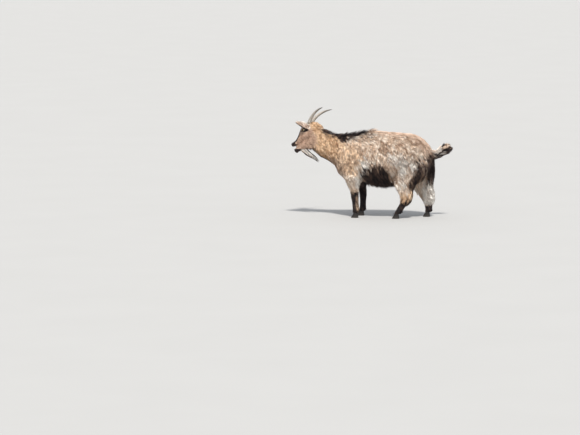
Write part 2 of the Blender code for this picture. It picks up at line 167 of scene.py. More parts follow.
def put(name, mesh, material=None, smooth=True):
    """The mesh as a named piece of the scene."""
    piece = bpy.data.objects.new(name, mesh)
    bpy.context.scene.collection.objects.link(piece)
    if material is not None:
        mesh.materials.append(material)
    if smooth:
        mesh.polygons.foreach_set("use_smooth", np.ones(len(mesh.polygons), bool))
    return piece


def evened(name, corners, size, wear=0):
    """Loose triangles drawn over with an even mesh of four-cornered faces; wear rounds its edges."""
    corners = corners.reshape(-1, 3)
    draft = face_mesh(name + "_draft", corners, np.arange(len(corners)).reshape(-1, 3))
    draft_piece = put(name + "_draft", draft)
    evener = draft_piece.modifiers.new("even mesh", "REMESH")
    evener.mode = "VOXEL"
    evener.voxel_size = size
    if wear:
        softener = draft_piece.modifiers.new("worn edges", "SMOOTH")
        softener.factor = 0.5
        softener.iterations = wear
    solid = draft_piece.evaluated_get(bpy.context.evaluated_depsgraph_get())
    mesh = bpy.data.meshes.new_from_object(solid)
    mesh.name = name
    bpy.data.objects.remove(draft_piece)
    bpy.data.meshes.remove(draft)
    return mesh


def read_rows(rows, width, name, kind):
    """What a mesh holds for each of its points or corners, as an array this many wide."""
    values = np.empty(len(rows) * width, kind)
    rows.foreach_get(name, values)
    return values.reshape(-1, width)


flesh_corners = {node: corners_of(node) for node in FLESH}
filling = [corners_of(node, KERF) for node in FLESH]
for side in (1, -1):
    filling.append(ball_corners(eye_middle[side], 0.0128))
    filling.append(ball_corners(in_head(38, side * 22.5, 4), 0.0135))
    filling.append(ball_corners(in_head(45, side * 21, 8), 0.0120))
# The jaw is made good where the beard's root is let into the solid: each row is a place along
# the closed jaw, its height, and half the jaw's depth and width there, in head units.
MOUTH_OPEN = math.radians(10)
JAW_HINGE = (62.0, -42.0)
JAW_CORE = (
    (52, -96, 32, 32), (64, -102, 41, 35), (97, -108, 46, 34), (130, -107, 44, 29),
    (165, -97, 31, 24.5), (198, -88, 21, 20.5), (224, -88.5, 16, 17.5), (239, -87, 13.5, 13.5),
)
JAW_BEAD = 9.0


def swung(forward, up):
    """A place on the lower jaw once it has dropped about its hinge."""
    ahead, above = forward - JAW_HINGE[0], up - JAW_HINGE[1]
    return (
        ahead * math.cos(MOUTH_OPEN) + above * math.sin(MOUTH_OPEN) + JAW_HINGE[0],
        above * math.cos(MOUTH_OPEN) - ahead * math.sin(MOUTH_OPEN) + JAW_HINGE[1],
    )


def between_rows(rows, place):
    """What a table of rows gives at a place between them; the first column is the place."""
    columns = list(zip(*rows))
    return [np.interp(place, columns[0], column) for column in columns[1:]]


for forward in range(56, 240, 6):
    up, half_height, half_width = between_rows(JAW_CORE, forward)
    bead = ball_corners(Vector(), 1.0) * (half_width, JAW_BEAD, half_height) * HEAD_UNIT
    ahead, above = swung(forward, up)
    filling.append(bead @ np.array(head_turn).T + np.array(in_head(ahead, 0, above)))
soup = quartered(quartered(np.concatenate(filling)))
even = evened("even hide", drawn_out(soup.reshape(-1, 3)), HIDE_MESH_SIZE)
hide_points = drawn_back(read_rows(even.vertices, 3, "co", np.float32).astype(np.float64))
hide_faces = read_rows(even.loops, 1, "vertex_index", np.int32).reshape(-1, 4)
bpy.data.meshes.remove(even)

hide_edges = np.concatenate([hide_faces[:, [i, (i + 1) % 4]] for i in range(4)])
hide_edges = np.unique(np.sort(hide_edges, axis=1), axis=0)
edge_start, edge_end = hide_edges[:, 0], hide_edges[:, 1]
hide_count = len(hide_points)
edges_at = np.bincount(hide_edges.reshape(-1), minlength=hide_count)[:, None]


def relaxed(values, times, share=0.5):
    """Each value drawn towards its neighbours' mean, over the hide."""
    values = np.array(values, np.float64).reshape(hide_count, -1)
    for _ in range(times):
        around = np.stack(
            [
                np.bincount(edge_start, column[edge_end], hide_count)
                + np.bincount(edge_end, column[edge_start], hide_count)
                for column in values.T
            ],
            axis=1,
        )
        values += (around / edges_at - values) * share
    return values


def unit(vectors):
    return vectors / np.maximum(np.linalg.norm(vectors, axis=-1, keepdims=True), 1e-12)


def outward(points):
    """The way out of the hide at each of its points."""
    corner = points[hide_faces]
    across = np.cross(corner[:, 2] - corner[:, 0], corner[:, 3] - corner[:, 1])
    total = np.stack(
        [
            sum(np.bincount(hide_faces[:, i], across[:, axis], hide_count) for i in range(4))
            for axis in range(3)
        ],
        axis=1,
    )
    return unit(total)


# Which part of the goat each place on the hide belongs to, shared softly at the borders.
owners = [node for node in FLESH for _ in flesh_corners[node]]
flesh_tree = BVHTree.FromPolygons(
    np.concatenate(list(flesh_corners.values())).reshape(-1, 3).tolist(),
    np.arange(3 * len(owners)).reshape(-1, 3).tolist(),
)
PARTS = (
    "trunk", "neck", "head", "jaw", "tail", "ear",
    "upper_foreleg", "lower_foreleg", "upper_hind_leg", "lower_hind_leg",
)
belongs = np.zeros((hide_count, len(PARTS)))
for i, point in enumerate(hide_points.tolist()):
    owner = owners[flesh_tree.find_nearest(point)[2]]
    belongs[i, PARTS.index(owner.replace("_left", "").replace("_right", ""))] = 1
belongs = relaxed(belongs, 30)
part_of = dict(zip(PARTS, belongs.T))

def by_part(**amounts):
    """One amount for each part, eased from each into the next."""
    return sum(part_of[part] * amount for part, amount in amounts.items())


def near(points, start, end, radius, soft):
    """1 within radius of a line from start to end, eased to 0 over soft."""
    start, end = np.array(start, float), np.array(end, float)
    span = end - start
    share = np.clip((points - start) @ span / max(span @ span, 1e-12), 0, 1)
    apart = np.linalg.norm(points - start - share[:, None] * span, axis=1)
    return ramp(apart, radius + soft, radius)


def near_chain(points, places, radius, soft):
    """The same for a line through several places."""
    links = zip(places[:-1], places[1:])
    return np.max([near(points, a, b, radius, soft) for a, b in links], axis=0)


hide_points = relaxed(hide_points, 3)
CREST = (
    (0, -0.452, 0.738), (0, -0.400, 0.722), (0, -0.330, 0.672),
    (0, -0.240, 0.632), (0, -0.130, 0.650), (0, -0.030, 0.672),
)
BELLY = ((0, -0.150, 0.300), (0, 0.000, 0.270), (0, 0.150, 0.262), (0, 0.260, 0.300))


def one_side(places):
    """Places on the head folded on to its left side, so that one line stands for both sides."""
    forward, left, up = places.T
    return np.stack([forward, np.abs(left), up], axis=1)


coat_tips = hide_points.copy()
head_at = head_places(coat_tips)
head_side = one_side(head_at)
forward, up = head_side[:, 0], head_side[:, 2]
on_head = np.clip(part_of["head"] + part_of["jaw"] + part_of["ear"], 0, 1)
behind_cheek = ramp(forward, 66, 8) * on_head * (1 - part_of["ear"])
under_throat = ramp(up, -112, -150) * ramp(forward, 196, 150) * on_head

coat_depth = by_part(
    trunk=0.017, neck=0.015, head=0.0030, jaw=0.0042, tail=0.019, ear=0.0011,
    upper_foreleg=0.0080, lower_foreleg=0.0026, upper_hind_leg=0.012, lower_hind_leg=0.0030,
)
coat_depth += 0.012 * near_chain(hide_points, CREST, 0.020, 0.035) * (1 - part_of["head"])
coat_depth += 0.014 * near_chain(hide_points, BELLY, 0.060, 0.060)
coat_depth += 0.008 * behind_cheek + 0.007 * under_throat
coat_depth = relaxed(coat_depth, 40)[:, 0]

# Nowhere is more than a third of what is there taken away.
tree = BVHTree.FromPolygons(hide_points.tolist(), hide_faces.tolist())
ways_out = outward(hide_points)
room = np.array(
    [
        tree.ray_cast(point - way * 0.0005, -way)[3] or 0.5
        for point, way in zip(map(Vector, hide_points.tolist()), map(Vector, ways_out.tolist()))
    ]
)
coat_depth = relaxed(np.minimum(coat_depth, 0.33 * room), 6)[:, 0]
for _ in range(5):
    hide_points = hide_points - outward(hide_points) * coat_depth[:, None] / 5
    hide_points += (relaxed(hide_points, 2) - hide_points) * ramp(coat_depth, 0.004, 0.010)[:, None]
hide_points += (relaxed(hide_points, 8) - hide_points) * part_of["ear"][:, None]


def along_head(forward, left, up):
    """A way in the head's own frame, as a way of the goat."""
    return np.array((head_turn @ Vector((left, -forward, up))).normalized())


# The face is worked on both sides at once: each row raises the hide (or lets it in) along a
# line drawn in head units, within a radius that eases out, by so many units.
FACE_WORK = (
    # brow over the eye
    (((64, 44, -3), (86, 42, 1), (102, 36, -6)), 5, 11, 3.0),
    # cheek
    (((62, 44, -78), (92, 42, -74)), 16, 22, 2.6),
    # hollow before the eye
    (((114, 44, -30), (150, 34, -46)), 5, 12, -2.2),
    # edges of the nose bone
    (((112, 10, 12), (160, 9, -22), (205, 9, -42)), 3, 8, 1.2),
    # wing of the nostril
    (((236, 19, -50), (226, 22, -55), (224, 20, -63)), 3, 6, 2.4),
    # pad between the nostrils
    (((242, 0, -54), (240, 8, -57)), 4, 7, 1.0),
    # upper lip
    (((238, 6, -74), (224, 18, -80), (198, 25, -86), (165, 28, -88)), 3, 6, 2.0),
)
FACE_CUTS = (
    # nostril
    (((241, 8.5, -61), (238, 14, -56), (232, 17.5, -54.5), (226, 18.5, -57.5)), 1.4, 2.6, -6.0),
    # cleft of the upper lip
    (((247, 0, -60), (243, 0, -68), (238, 0, -76)), 0.4, 2.6, -2.4),
)
# The lower lip is full, and the chin stands forward; both lie on the lowered jaw.
LOWER_LIP = ((240, 6, -84), (226, 17, -86), (200, 20, -88), (165, 24, -88))
CHIN = ((238, 0, -106), (235, 6, -112), (231, 0, -119))


def raised(points, at, line, radius, soft, rise, where):
    """The hide raised along a line by so many head units, at the places that where allows."""
    amount = near_chain(at, line, radius, soft) * where
    return points + outward(points) * (amount * rise * HEAD_UNIT)[:, None]


def worked(points, rows):
    """The hide after each row of the face's work in turn."""
    for row in rows:
        points = raised(points, one_side(head_places(points)), *row, part_of["head"] > 0.3)
    return points


hide_points = worked(hide_points, FACE_WORK)
hide_points += (relaxed(hide_points, 3) - hide_points) * part_of["head"][:, None]
hide_points = worked(hide_points, FACE_CUTS)
at = one_side(head_places(hide_points))
lower_lip = [(swung(s, t)[0], l, swung(s, t)[1]) for s, l, t in LOWER_LIP]
hide_points = raised(hide_points, at, lower_lip, 3, 6, 1.8, part_of["jaw"])
hide_points = raised(hide_points, at, CHIN, 7, 12, 6.5, part_of["jaw"])

# Each orbit stands out round its eye, and the lids close over the ball but for an almond gap,
# measured in degrees round the ball.
EYE_RADIUS = 0.0135
LID = 0.0015
GAP_LONG, GAP_ABOVE, GAP_BELOW = 53.0, 28.0, 24.0


def gap_edges(long_turn):
    """How open the lids are at a turn along the gap, and where their upper and lower edges stand."""
    almond = np.maximum(1 - (long_turn / GAP_LONG) ** 2, 0)
    return almond, GAP_ABOVE * almond**0.7, -GAP_BELOW * almond**0.8


eye_look, eye_fore, eye_rise = {}, {}, {}
eye_gap = np.full(hide_count, 180.0)
for side in (1, -1):
    look = along_head(0.30, side * 0.95, 0.08)
    fore = along_head(1.0, 0, -0.30)
    fore = unit(fore - look * (fore @ look))
    rise = np.cross(look, fore) * side
    eye_look[side], eye_fore[side], eye_rise[side] = look, fore, rise
    from_eye = hide_points - np.array(eye_middle[side])
    apart = np.hypot(from_eye @ fore, from_eye @ rise)
    outer = (from_eye @ look > -0.014) & (apart < 0.040)
    lift = ramp(apart, 0.031, 0.013) * np.maximum(0.0050 - from_eye @ look, 0) * outer
    hide_points += lift[:, None] * look
    from_eye = hide_points - np.array(eye_middle[side])
    away = np.linalg.norm(from_eye, axis=1)
    long_turn = np.degrees(np.arctan2(from_eye @ fore, from_eye @ look))
    up_turn = np.degrees(np.arcsin(np.clip(from_eye @ rise / away, -1, 1)))
    almond, edge_above, edge_below = gap_edges(long_turn)
    past_edge = np.maximum(up_turn - edge_above, edge_below - up_turn)
    past_edge = np.maximum(past_edge, np.where(almond <= 0, np.abs(long_turn) - GAP_LONG, -90))
    near_ball = (from_eye @ look > -0.002) & (away < 0.026)
    lid_top = EYE_RADIUS + LID + 0.0012 * np.exp(-(((past_edge - 13) / 7) ** 2)) * (up_turn > 0)
    lid_top -= 0.0010 * np.exp(-(((past_edge - 24) / 5) ** 2)) * (up_turn > 0)
    under_ball = EYE_RADIUS + LID - 0.0042 * ramp(past_edge, 1.5, -7.0)
    goal = np.where(past_edge > 0, lid_top, under_ball)
    pull = np.where(past_edge > 0, ramp(past_edge, 42, 10), 1.0) * near_ball
    hide_points += from_eye / away[:, None] * ((goal - away) * pull)[:, None]
    eye_gap = np.where(near_ball, np.minimum(eye_gap, past_edge), eye_gap)

hide_outward = outward(hide_points)
coat_room = np.sum((coat_tips - hide_points) * hide_outward, axis=1)
coat_room = relaxed(np.maximum(coat_room, 0.0014), 4)[:, 0]


# ---------------------------------------------------------------- the markings
# One set of markings for hide and coat: buff and cream body, warm neck, black mane, shins,
# belly and face stripe, and a pale tail root. Each is a dab or a band with an eased edge.

x, y, z = coat_tips.T
mirrored = np.stack([np.abs(x), y, z], axis=1)
on_body = 1 - on_head
dark, pale, warm, grey = (np.zeros(hide_count) for _ in range(4))


def lay(mark, amount):
    """Adds a mark where it is stronger than what is there."""
    return np.maximum(mark, np.clip(amount, 0, 1))


def lay_along(mark, places, *rows, within=1):
    """Lays a mark along lines: each row is its strength, its line, its radius and its soft edge."""
    for strength, line, radius, soft in rows:
        mark = lay(mark, strength * near_chain(places, line, radius, soft) * within)
    return mark


# The black mane runs down the crest of the neck and over the withers, and ends on the back.
mane_edge = np.interp(
    y,
    [-0.400, -0.368, -0.250, -0.225, -0.165, -0.093, -0.020, 0.040],
    [0.688, 0.656, 0.622, 0.588, 0.612, 0.638, 0.658, 0.690],
)
mane = ramp(z, mane_edge - 0.008, mane_edge + 0.012) * ramp(y, -0.400, -0.375) * ramp(y, 0.040, 0.0)
dark = lay(dark, mane * on_body)
mane_top = (0.6, ((0, -0.430, 0.735), (0, -0.385, 0.712)), 0.016, 0.026)
dark = lay_along(dark, coat_tips, mane_top, within=on_body)
mane_fringe = (0.37, ((0.10, -0.150, 0.610), (0.11, -0.070, 0.622), (0.10, 0.000, 0.640)), 0.012, 0.020)
dark = lay_along(dark, mirrored, mane_fringe)
# The belly is black up to an arch on the flank, highest just behind the elbow.
arch = np.interp(
    y,
    [-0.17, -0.10, -0.067, -0.028, 0.036, 0.100, 0.131, 0.160, 0.182, 0.200, 0.26],
    [0.24, 0.27, 0.335, 0.402, 0.426, 0.424, 0.414, 0.390, 0.350, 0.270, 0.24],
)
elbow_side = part_of["upper_foreleg"] * (np.abs(x) < 0.075) * (y > -0.16)
belly_side = np.clip(part_of["trunk"] + elbow_side, 0, 1)
belly_black = ramp(z, arch + 0.022, arch - 0.030) * belly_side
dark = lay(dark, belly_black * ramp(y, -0.17, -0.12) * ramp(y, 0.38, 0.33))
# Forelegs: the left is buff to the knee, the right black from high up; both have black shins.
left_fore = (y < 0.02) & (x > 0)
right_fore = (y < 0.02) & (x < 0)
dark = lay(dark, ramp(z, 0.208, 0.186) * left_fore)
russet = near_chain(coat_tips, ((0.10, -0.085, 0.155), (0.10, -0.085, 0.070)), 0.012, 0.016) * left_fore
dark *= 1 - 0.52 * russet
dark = lay(dark, ramp(z, 0.350, 0.315) * right_fore * ramp(x, -0.02, -0.05))
# Hind legs: black below the hock, where a cuff of long hair ends on a slant.
cuff = 0.125 + 0.39 * (y - 0.251)
left_hind = (y > 0.1) * (x > 0)
dark = lay(dark, ramp(z, cuff + 0.012, cuff - 0.010) * left_hind)
dark = lay(dark, ramp(z, 0.102, 0.082) * (y > 0.1) * (x < 0))
# Black under the tail and down between the thighs. Down the back of each thigh the black is painted shade,
# the shadow where one hind leg stands against the other.
dark = lay_along(
    dark, mirrored,
    (1.00, ((0.02, 0.505, 0.480), (0.05, 0.492, 0.405), (0.07, 0.470, 0.330)), 0.034, 0.032),
    (0.95, ((0.04, 0.497, 0.480), (0.09, 0.446, 0.456), (0.125, 0.404, 0.424)), 0.014, 0.028),
    (0.85, ((0.125, 0.404, 0.412), (0.125, 0.386, 0.330), (0.12, 0.352, 0.245)), 0.018, 0.040),
    (0.72, ((0.09, 0.455, 0.385), (0.09, 0.440, 0.290)), 0.030, 0.030),
)
# The tail is black, with a cream root above and a buff tip.
dark = lay(dark, part_of["tail"] * ramp(y, 0.480, 0.505))
tail_root = part_of["tail"] * ramp(z - 0.55 * (y - 0.52), 0.494, 0.512) * ramp(y, 0.560, 0.535)
tail_tip = part_of["tail"] * ramp(y, 0.580, 0.600) * ramp(z - 0.2 * (y - 0.58), 0.540, 0.560)
pale = lay(pale, tail_root)
dark *= 1 - np.maximum(tail_root, 0.92 * tail_tip)
tail_streak = near(coat_tips, (0.02, 0.535, 0.520), (0.02, 0.575, 0.545), 0.005, 0.012)
dark *= 1 - 0.45 * tail_streak * part_of["tail"]
# Cream behind the elbow and down the foreleg's back, over the haunch and down each thigh. The pale a little
# over the mane's edge is a painted highlight, the top of the shoulder and back where the sun falls.
FORELEG_BACK = (
    (0.15, -0.020, 0.452), (0.15, -0.040, 0.410), (0.125, -0.066, 0.335), (0.105, -0.084, 0.255),
)
pale = lay_along(
    pale, mirrored,
    (0.85, FORELEG_BACK, 0.010, 0.045),
    (0.80, ((0.165, 0.200, 0.476), (0.165, 0.286, 0.446), (0.14, 0.385, 0.395)), 0.014, 0.062),
    (0.80, ((0.15, 0.275, 0.420), (0.12, 0.274, 0.298), (0.10, 0.318, 0.212)), 0.010, 0.042),
    (0.60, ((0.09, 0.452, 0.400), (0.09, 0.445, 0.300)), 0.010, 0.030),
    (0.45, ((0.09, -0.17, 0.600), (0.08, -0.06, 0.632), (0.07, 0.02, 0.650)), 0.010, 0.030),
)
# The right leg is cream down the back of its breeches; the left has a pale front to its thigh.
pale = lay_along(
    pale, coat_tips,
    (0.95, ((-0.09, 0.480, 0.340), (-0.10, 0.450, 0.260), (-0.10, 0.450, 0.130)), 0.034, 0.055),
    (0.33, ((0.12, 0.21, 0.33), (0.11, 0.225, 0.26), (0.10, 0.25, 0.21)), 0.016, 0.034),
)
pale = lay(pale, 0.30 * left_fore * ramp(z, 0.20, 0.23) * ramp(z, 0.38, 0.32))
grey = lay_along(grey, coat_tips, (0.44, ((0, 0.10, 0.68), (0, 0.44, 0.64)), 0.03, 0.10))
grey = lay_along(grey, mirrored, (0.42, ((0.08, 0.42, 0.60), (0.06, 0.475, 0.53)), 0.03, 0.06))
# Warm tan on the neck, shoulder and nape, and a cuff above each hock.
warm = lay(warm, part_of["neck"] * 0.9)
warm = lay_along(warm, mirrored, (0.42, ((0.09, -0.22, 0.58), (0.13, -0.12, 0.42)), 0.06, 0.10))
warm = lay(warm, ramp(z, cuff + 0.085, cuff + 0.030) * left_hind)
warm = lay(warm, 0.35 * ramp(z, 0.36, 0.26) * left_fore)
warm = lay(warm, russet)
warm = lay(warm, behind_cheek)
# The breast between the forelegs is a dull grey-brown, its own hair deepened by painted shade between the
# forelegs.
grey = lay_along(grey, coat_tips, (0.9, ((0, -0.285, 0.420), (0, -0.240, 0.330)), 0.050, 0.040))

# The face: tawny grey, black down the middle, round the eyes and at the nose and chin.
BRIDGE = ((140, 0, -16), (165, 0, -34), (190, 0, -48), (220, 0, -52))
dark = lay_along(
    dark, head_side,
    (1.0, ((46, 0, 8), (75, 0, 18), (110, 0, 4), *BRIDGE), 17, 8),
    (1.0, ((106, 0, 6), *BRIDGE), 25, 7),
    within=on_head,
)
dark = lay(dark, 0.9 * ramp(forward, 196, 208) * ramp(up, -80, -70) * part_of["head"])
dark = lay(dark, np.maximum(ramp(forward, 222, 230), 0.45 * ramp(forward, 198, 212)) * part_of["head"])
upper_lip_edge = (0.85, ((238, 6, -74), (224, 18, -80), (198, 25, -85)), 6, 6)
dark = lay_along(dark, head_side, upper_lip_edge, within=part_of["head"])
chin_line = -96 - 0.62 * (235 - forward)
dark = lay(dark, ramp(up, chin_line + 6, chin_line - 4) * ramp(forward, 166, 184) * part_of["jaw"])
dark = lay(dark, ramp(forward, 228, 236) * part_of["jaw"])
for side in (1, -1):
    eye_at = head_places(np.array([eye_middle[side]]))[0]
    ring = near(head_at, eye_at + (-11, 0, -3), eye_at + (3, 0, 0), 14.5, 6)
    dark = lay(dark, ring)
    to_stripe = 0.8 * near(head_at, eye_at + (14, side * -2, 1), eye_at + (34, side * -18, 4), 5, 7)
    dark = lay(dark, to_stripe * part_of["head"])
    behind = near(head_at, eye_at + (-40, 0, 0), eye_at + (-30, 0, -12), 6, 10)
    pale = lay(pale, 0.6 * behind * part_of["head"] * (1 - ring))
warm = lay_along(warm, head_side, (0.50, ((95, 45, -62), (150, 32, -75)), 20, 30))
cheek = (0.80, ((78, 44, -50), (130, 30, -50), (205, 20, -66)), 30, 24)
grey = lay_along(grey, head_side, cheek, within=on_head)
grey = lay(grey, 0.80 * under_throat)
grey = lay(grey, part_of["jaw"] * 0.75)
lower_lip_pale = (0.20, ((214, 18, -96), (190, 20, -108)), 5, 8)
pale = lay_along(pale, head_side, lower_lip_pale, within=part_of["jaw"])
# A black line along the back of the jaw and under the throat: painted shadow where the jaw meets the neck
# and under the throat.
jaw_back_shadow = (0.85, ((158, 0, -160), (130, 0, -170), (104, 0, -182)), 9, 9)
dark = lay_along(dark, head_at, jaw_back_shadow, within=on_head)
throat_shadow = (1.0, ((0, -0.455, 0.515), (0, -0.385, 0.450), (0, -0.300, 0.400)), 0.016, 0.018)
dark = lay_along(dark, coat_tips, throat_shadow, within=part_of["neck"])

# Ears: cupped towards the side, pale along the upper edge and inside, dark on the lower rim.
EAR_LENGTH, EAR_HALF_WIDTH = 0.128, 0.025
EAR_NARROWS = ([0, 0.35, 0.75, 1], [0.9, 1, 0.72, 0.35])
ear_turn = Matrix.Rotation(math.radians(-9), 3, "Z") @ Matrix.Rotation(math.radians(-8), 3, "Y")
ear_way, ear_inside = {}, np.zeros(hide_count)
for side in (1, -1):
    root = np.array(in_head(44, side * 38, -38))
    along = unit(np.array(ear_turn @ Vector((side * 58, -100, 45))))
    broad = np.array(ear_turn @ Vector((side * -0.35, 0.25, 1.0)))
    broad = unit(broad - along * (broad @ along))
    hollow = np.cross(broad, along) * side
    ear_way[side] = along
    own = part_of["ear"] * (np.sign(head_at[:, 1]) == side)
    reach = (coat_tips - root) @ along / EAR_LENGTH
    height = (coat_tips - root) @ broad / (EAR_HALF_WIDTH * np.interp(reach, *EAR_NARROWS))
    ear_inside = np.maximum(ear_inside, own * ramp(hide_outward @ hollow, 0.1, 0.5))
    upper_edge, ear_tip = ramp(height, 0.62, 0.95), ramp(reach, 0.92, 0.99)
    pale = lay(pale, own * np.maximum(0.12 + 0.70 * upper_edge, 0.8 * ear_tip))
    dark = lay(dark, own * ramp(height, -0.40, -0.64) * ramp(reach, 0.02, 0.12))
    dark *= 1 - own * ramp(height, 0.0, 0.4)
pale = lay(pale, 0.25 * ear_inside)
grey = lay(grey, part_of["ear"] * 0.9)

not_dark = 1 - dark
marks = np.clip(np.stack([dark, pale * not_dark, warm * not_dark, grey * not_dark], axis=1), 0, 1)

# Bare skin shows at the nostrils, the lips, the lids' edges and inside the mouth.
nose_pad = near_chain(head_side, ((244, 0, -58), (239, 10, -61), (236, 14, -57)), 4.5, 3)
nostril = near_chain(head_side, ((241, 8, -61), (232, 17.5, -54.5), (226, 18, -58)), 3.5, 2.0)
nose_skin = np.maximum(nose_pad, nostril)
lip_skin = near_chain(head_side, ((240, 0, -76), (232, 14, -80), (200, 24, -88)), 2.0, 2.0)
to_palate = hide_outward @ along_head(0, 0, -1)
to_tongue = hide_outward @ along_head(0.15, 0, 1)
jaw_tip, jaw_tip_up = swung(245, -88)
jaw_top = np.interp(forward, [80, jaw_tip], [-84, jaw_tip_up])
mouth_inside = part_of["head"] * ramp(to_palate, 0.75, 0.92) * ramp(forward, 95, 110) * (up < -76)
mouth_inside += part_of["jaw"] * ramp(to_tongue, 0.75, 0.92) * ramp(forward, 95, 110) * (up > jaw_top - 10)
bare = np.clip(nose_skin + lip_skin + mouth_inside + ramp(eye_gap, 9, 5), 0, 1)


def remember(mesh, name, values):
    """Keeps values on a mesh's points, for its material to read."""
    kind = {1: ("FLOAT", "value"), 3: ("FLOAT_VECTOR", "vector"), 4: ("FLOAT_COLOR", "color")}
    kind, field = kind[values.shape[1]]
    kept = mesh.attributes.new(name, kind, "POINT")
    kept.data.foreach_set(field, np.ascontiguousarray(values, np.float32).reshape(-1))


def fill(tree, node, inputs):
    """Gives a node's inputs, named or numbered, plain values or what other nodes put out."""
    for which, value in inputs.items():
        socket = node.inputs[which]
        if isinstance(value, bpy.types.Node):
            value = value.outputs[0]
        if isinstance(value, bpy.types.NodeSocket):
            tree.links.new(value, socket)
        elif socket.type == "RGBA":
            socket.default_value = (*value, 1)
        else:
            socket.default_value = value


def add(tree, kind, inputs=(), **settings):
    """A new node with its settings and its inputs."""
    node = tree.nodes.new(kind)
    for setting, value in settings.items():
        setattr(node, setting, value)
    fill(tree, node, dict(inputs))
    return node


def kept_value(tree, name):
    """What remember() kept on the mesh, read at each place."""
    return add(tree, "ShaderNodeAttribute", attribute_name=name)


def parts_of(tree, vector):
    return add(tree, "ShaderNodeSeparateXYZ", {0: vector}).outputs


def on_object(tree):
    """Places in metres, for grain that stays on the goat."""
    return add(tree, "ShaderNodeTexCoord").outputs["Object"]


def maths(tree, operation, *values, clamp=False):
    inputs = dict(enumerate(values))
    return add(tree, "ShaderNodeMath", inputs, operation=operation, use_clamp=clamp).outputs[0]


def scaled_from(tree, value, start, slope, clamp=True):
    """A value measured from start and multiplied by slope."""
    return maths(tree, "MULTIPLY", maths(tree, "SUBTRACT", value, start), slope, clamp=clamp)


def blend(tree, amount, below, above, how="MIX"):
    """One colour laid over another."""
    inputs = {0: amount, 6: below, 7: above}
    return add(tree, "ShaderNodeMix", inputs, data_type="RGBA", blend_type=how).outputs[2]


def noise(tree, place, scale, detail=2.0, stretch=None):
    """A soft, uneven pattern; stretch draws it out where it is below 1."""
    if stretch:
        place = add(tree, "ShaderNodeMapping", {"Vector": place, "Scale": stretch})
    inputs = {"Vector": place, "Scale": scale, "Detail": detail}
    return add(tree, "ShaderNodeTexNoise", inputs).outputs["Fac"]


def relief(tree, height, strength, distance):
    """Fine height in a finish, in metres at its deepest."""
    return add(tree, "ShaderNodeBump", {"Height": height, "Strength": strength, "Distance": distance})


def finished(name, settle):
    """A material whose nodes are set out by settle(tree, shader)."""
    material = bpy.data.materials.new(name)
    material.use_nodes = True
    settle(material.node_tree, material.node_tree.nodes["Principled BSDF"])
    return material


# The hair's colours, each from its darkest lock to its lightest.
BUFF = (0.34, 0.215, 0.145), (0.80, 0.605, 0.455)
CREAM = (0.97, 0.875, 0.765)
WARM = (0.46, 0.250, 0.125), (0.97, 0.710, 0.475)
PALE = (0.52, 0.440, 0.385), (0.97, 0.925, 0.860)
GREY = (0.25, 0.140, 0.090), (0.67, 0.470, 0.355)
BLACK = (0.010, 0.0075, 0.0095), (0.150, 0.092, 0.070)
# A hair's colour lifts from the painted shade at its root to this at its tip.
TIP_SHADE = 1.08


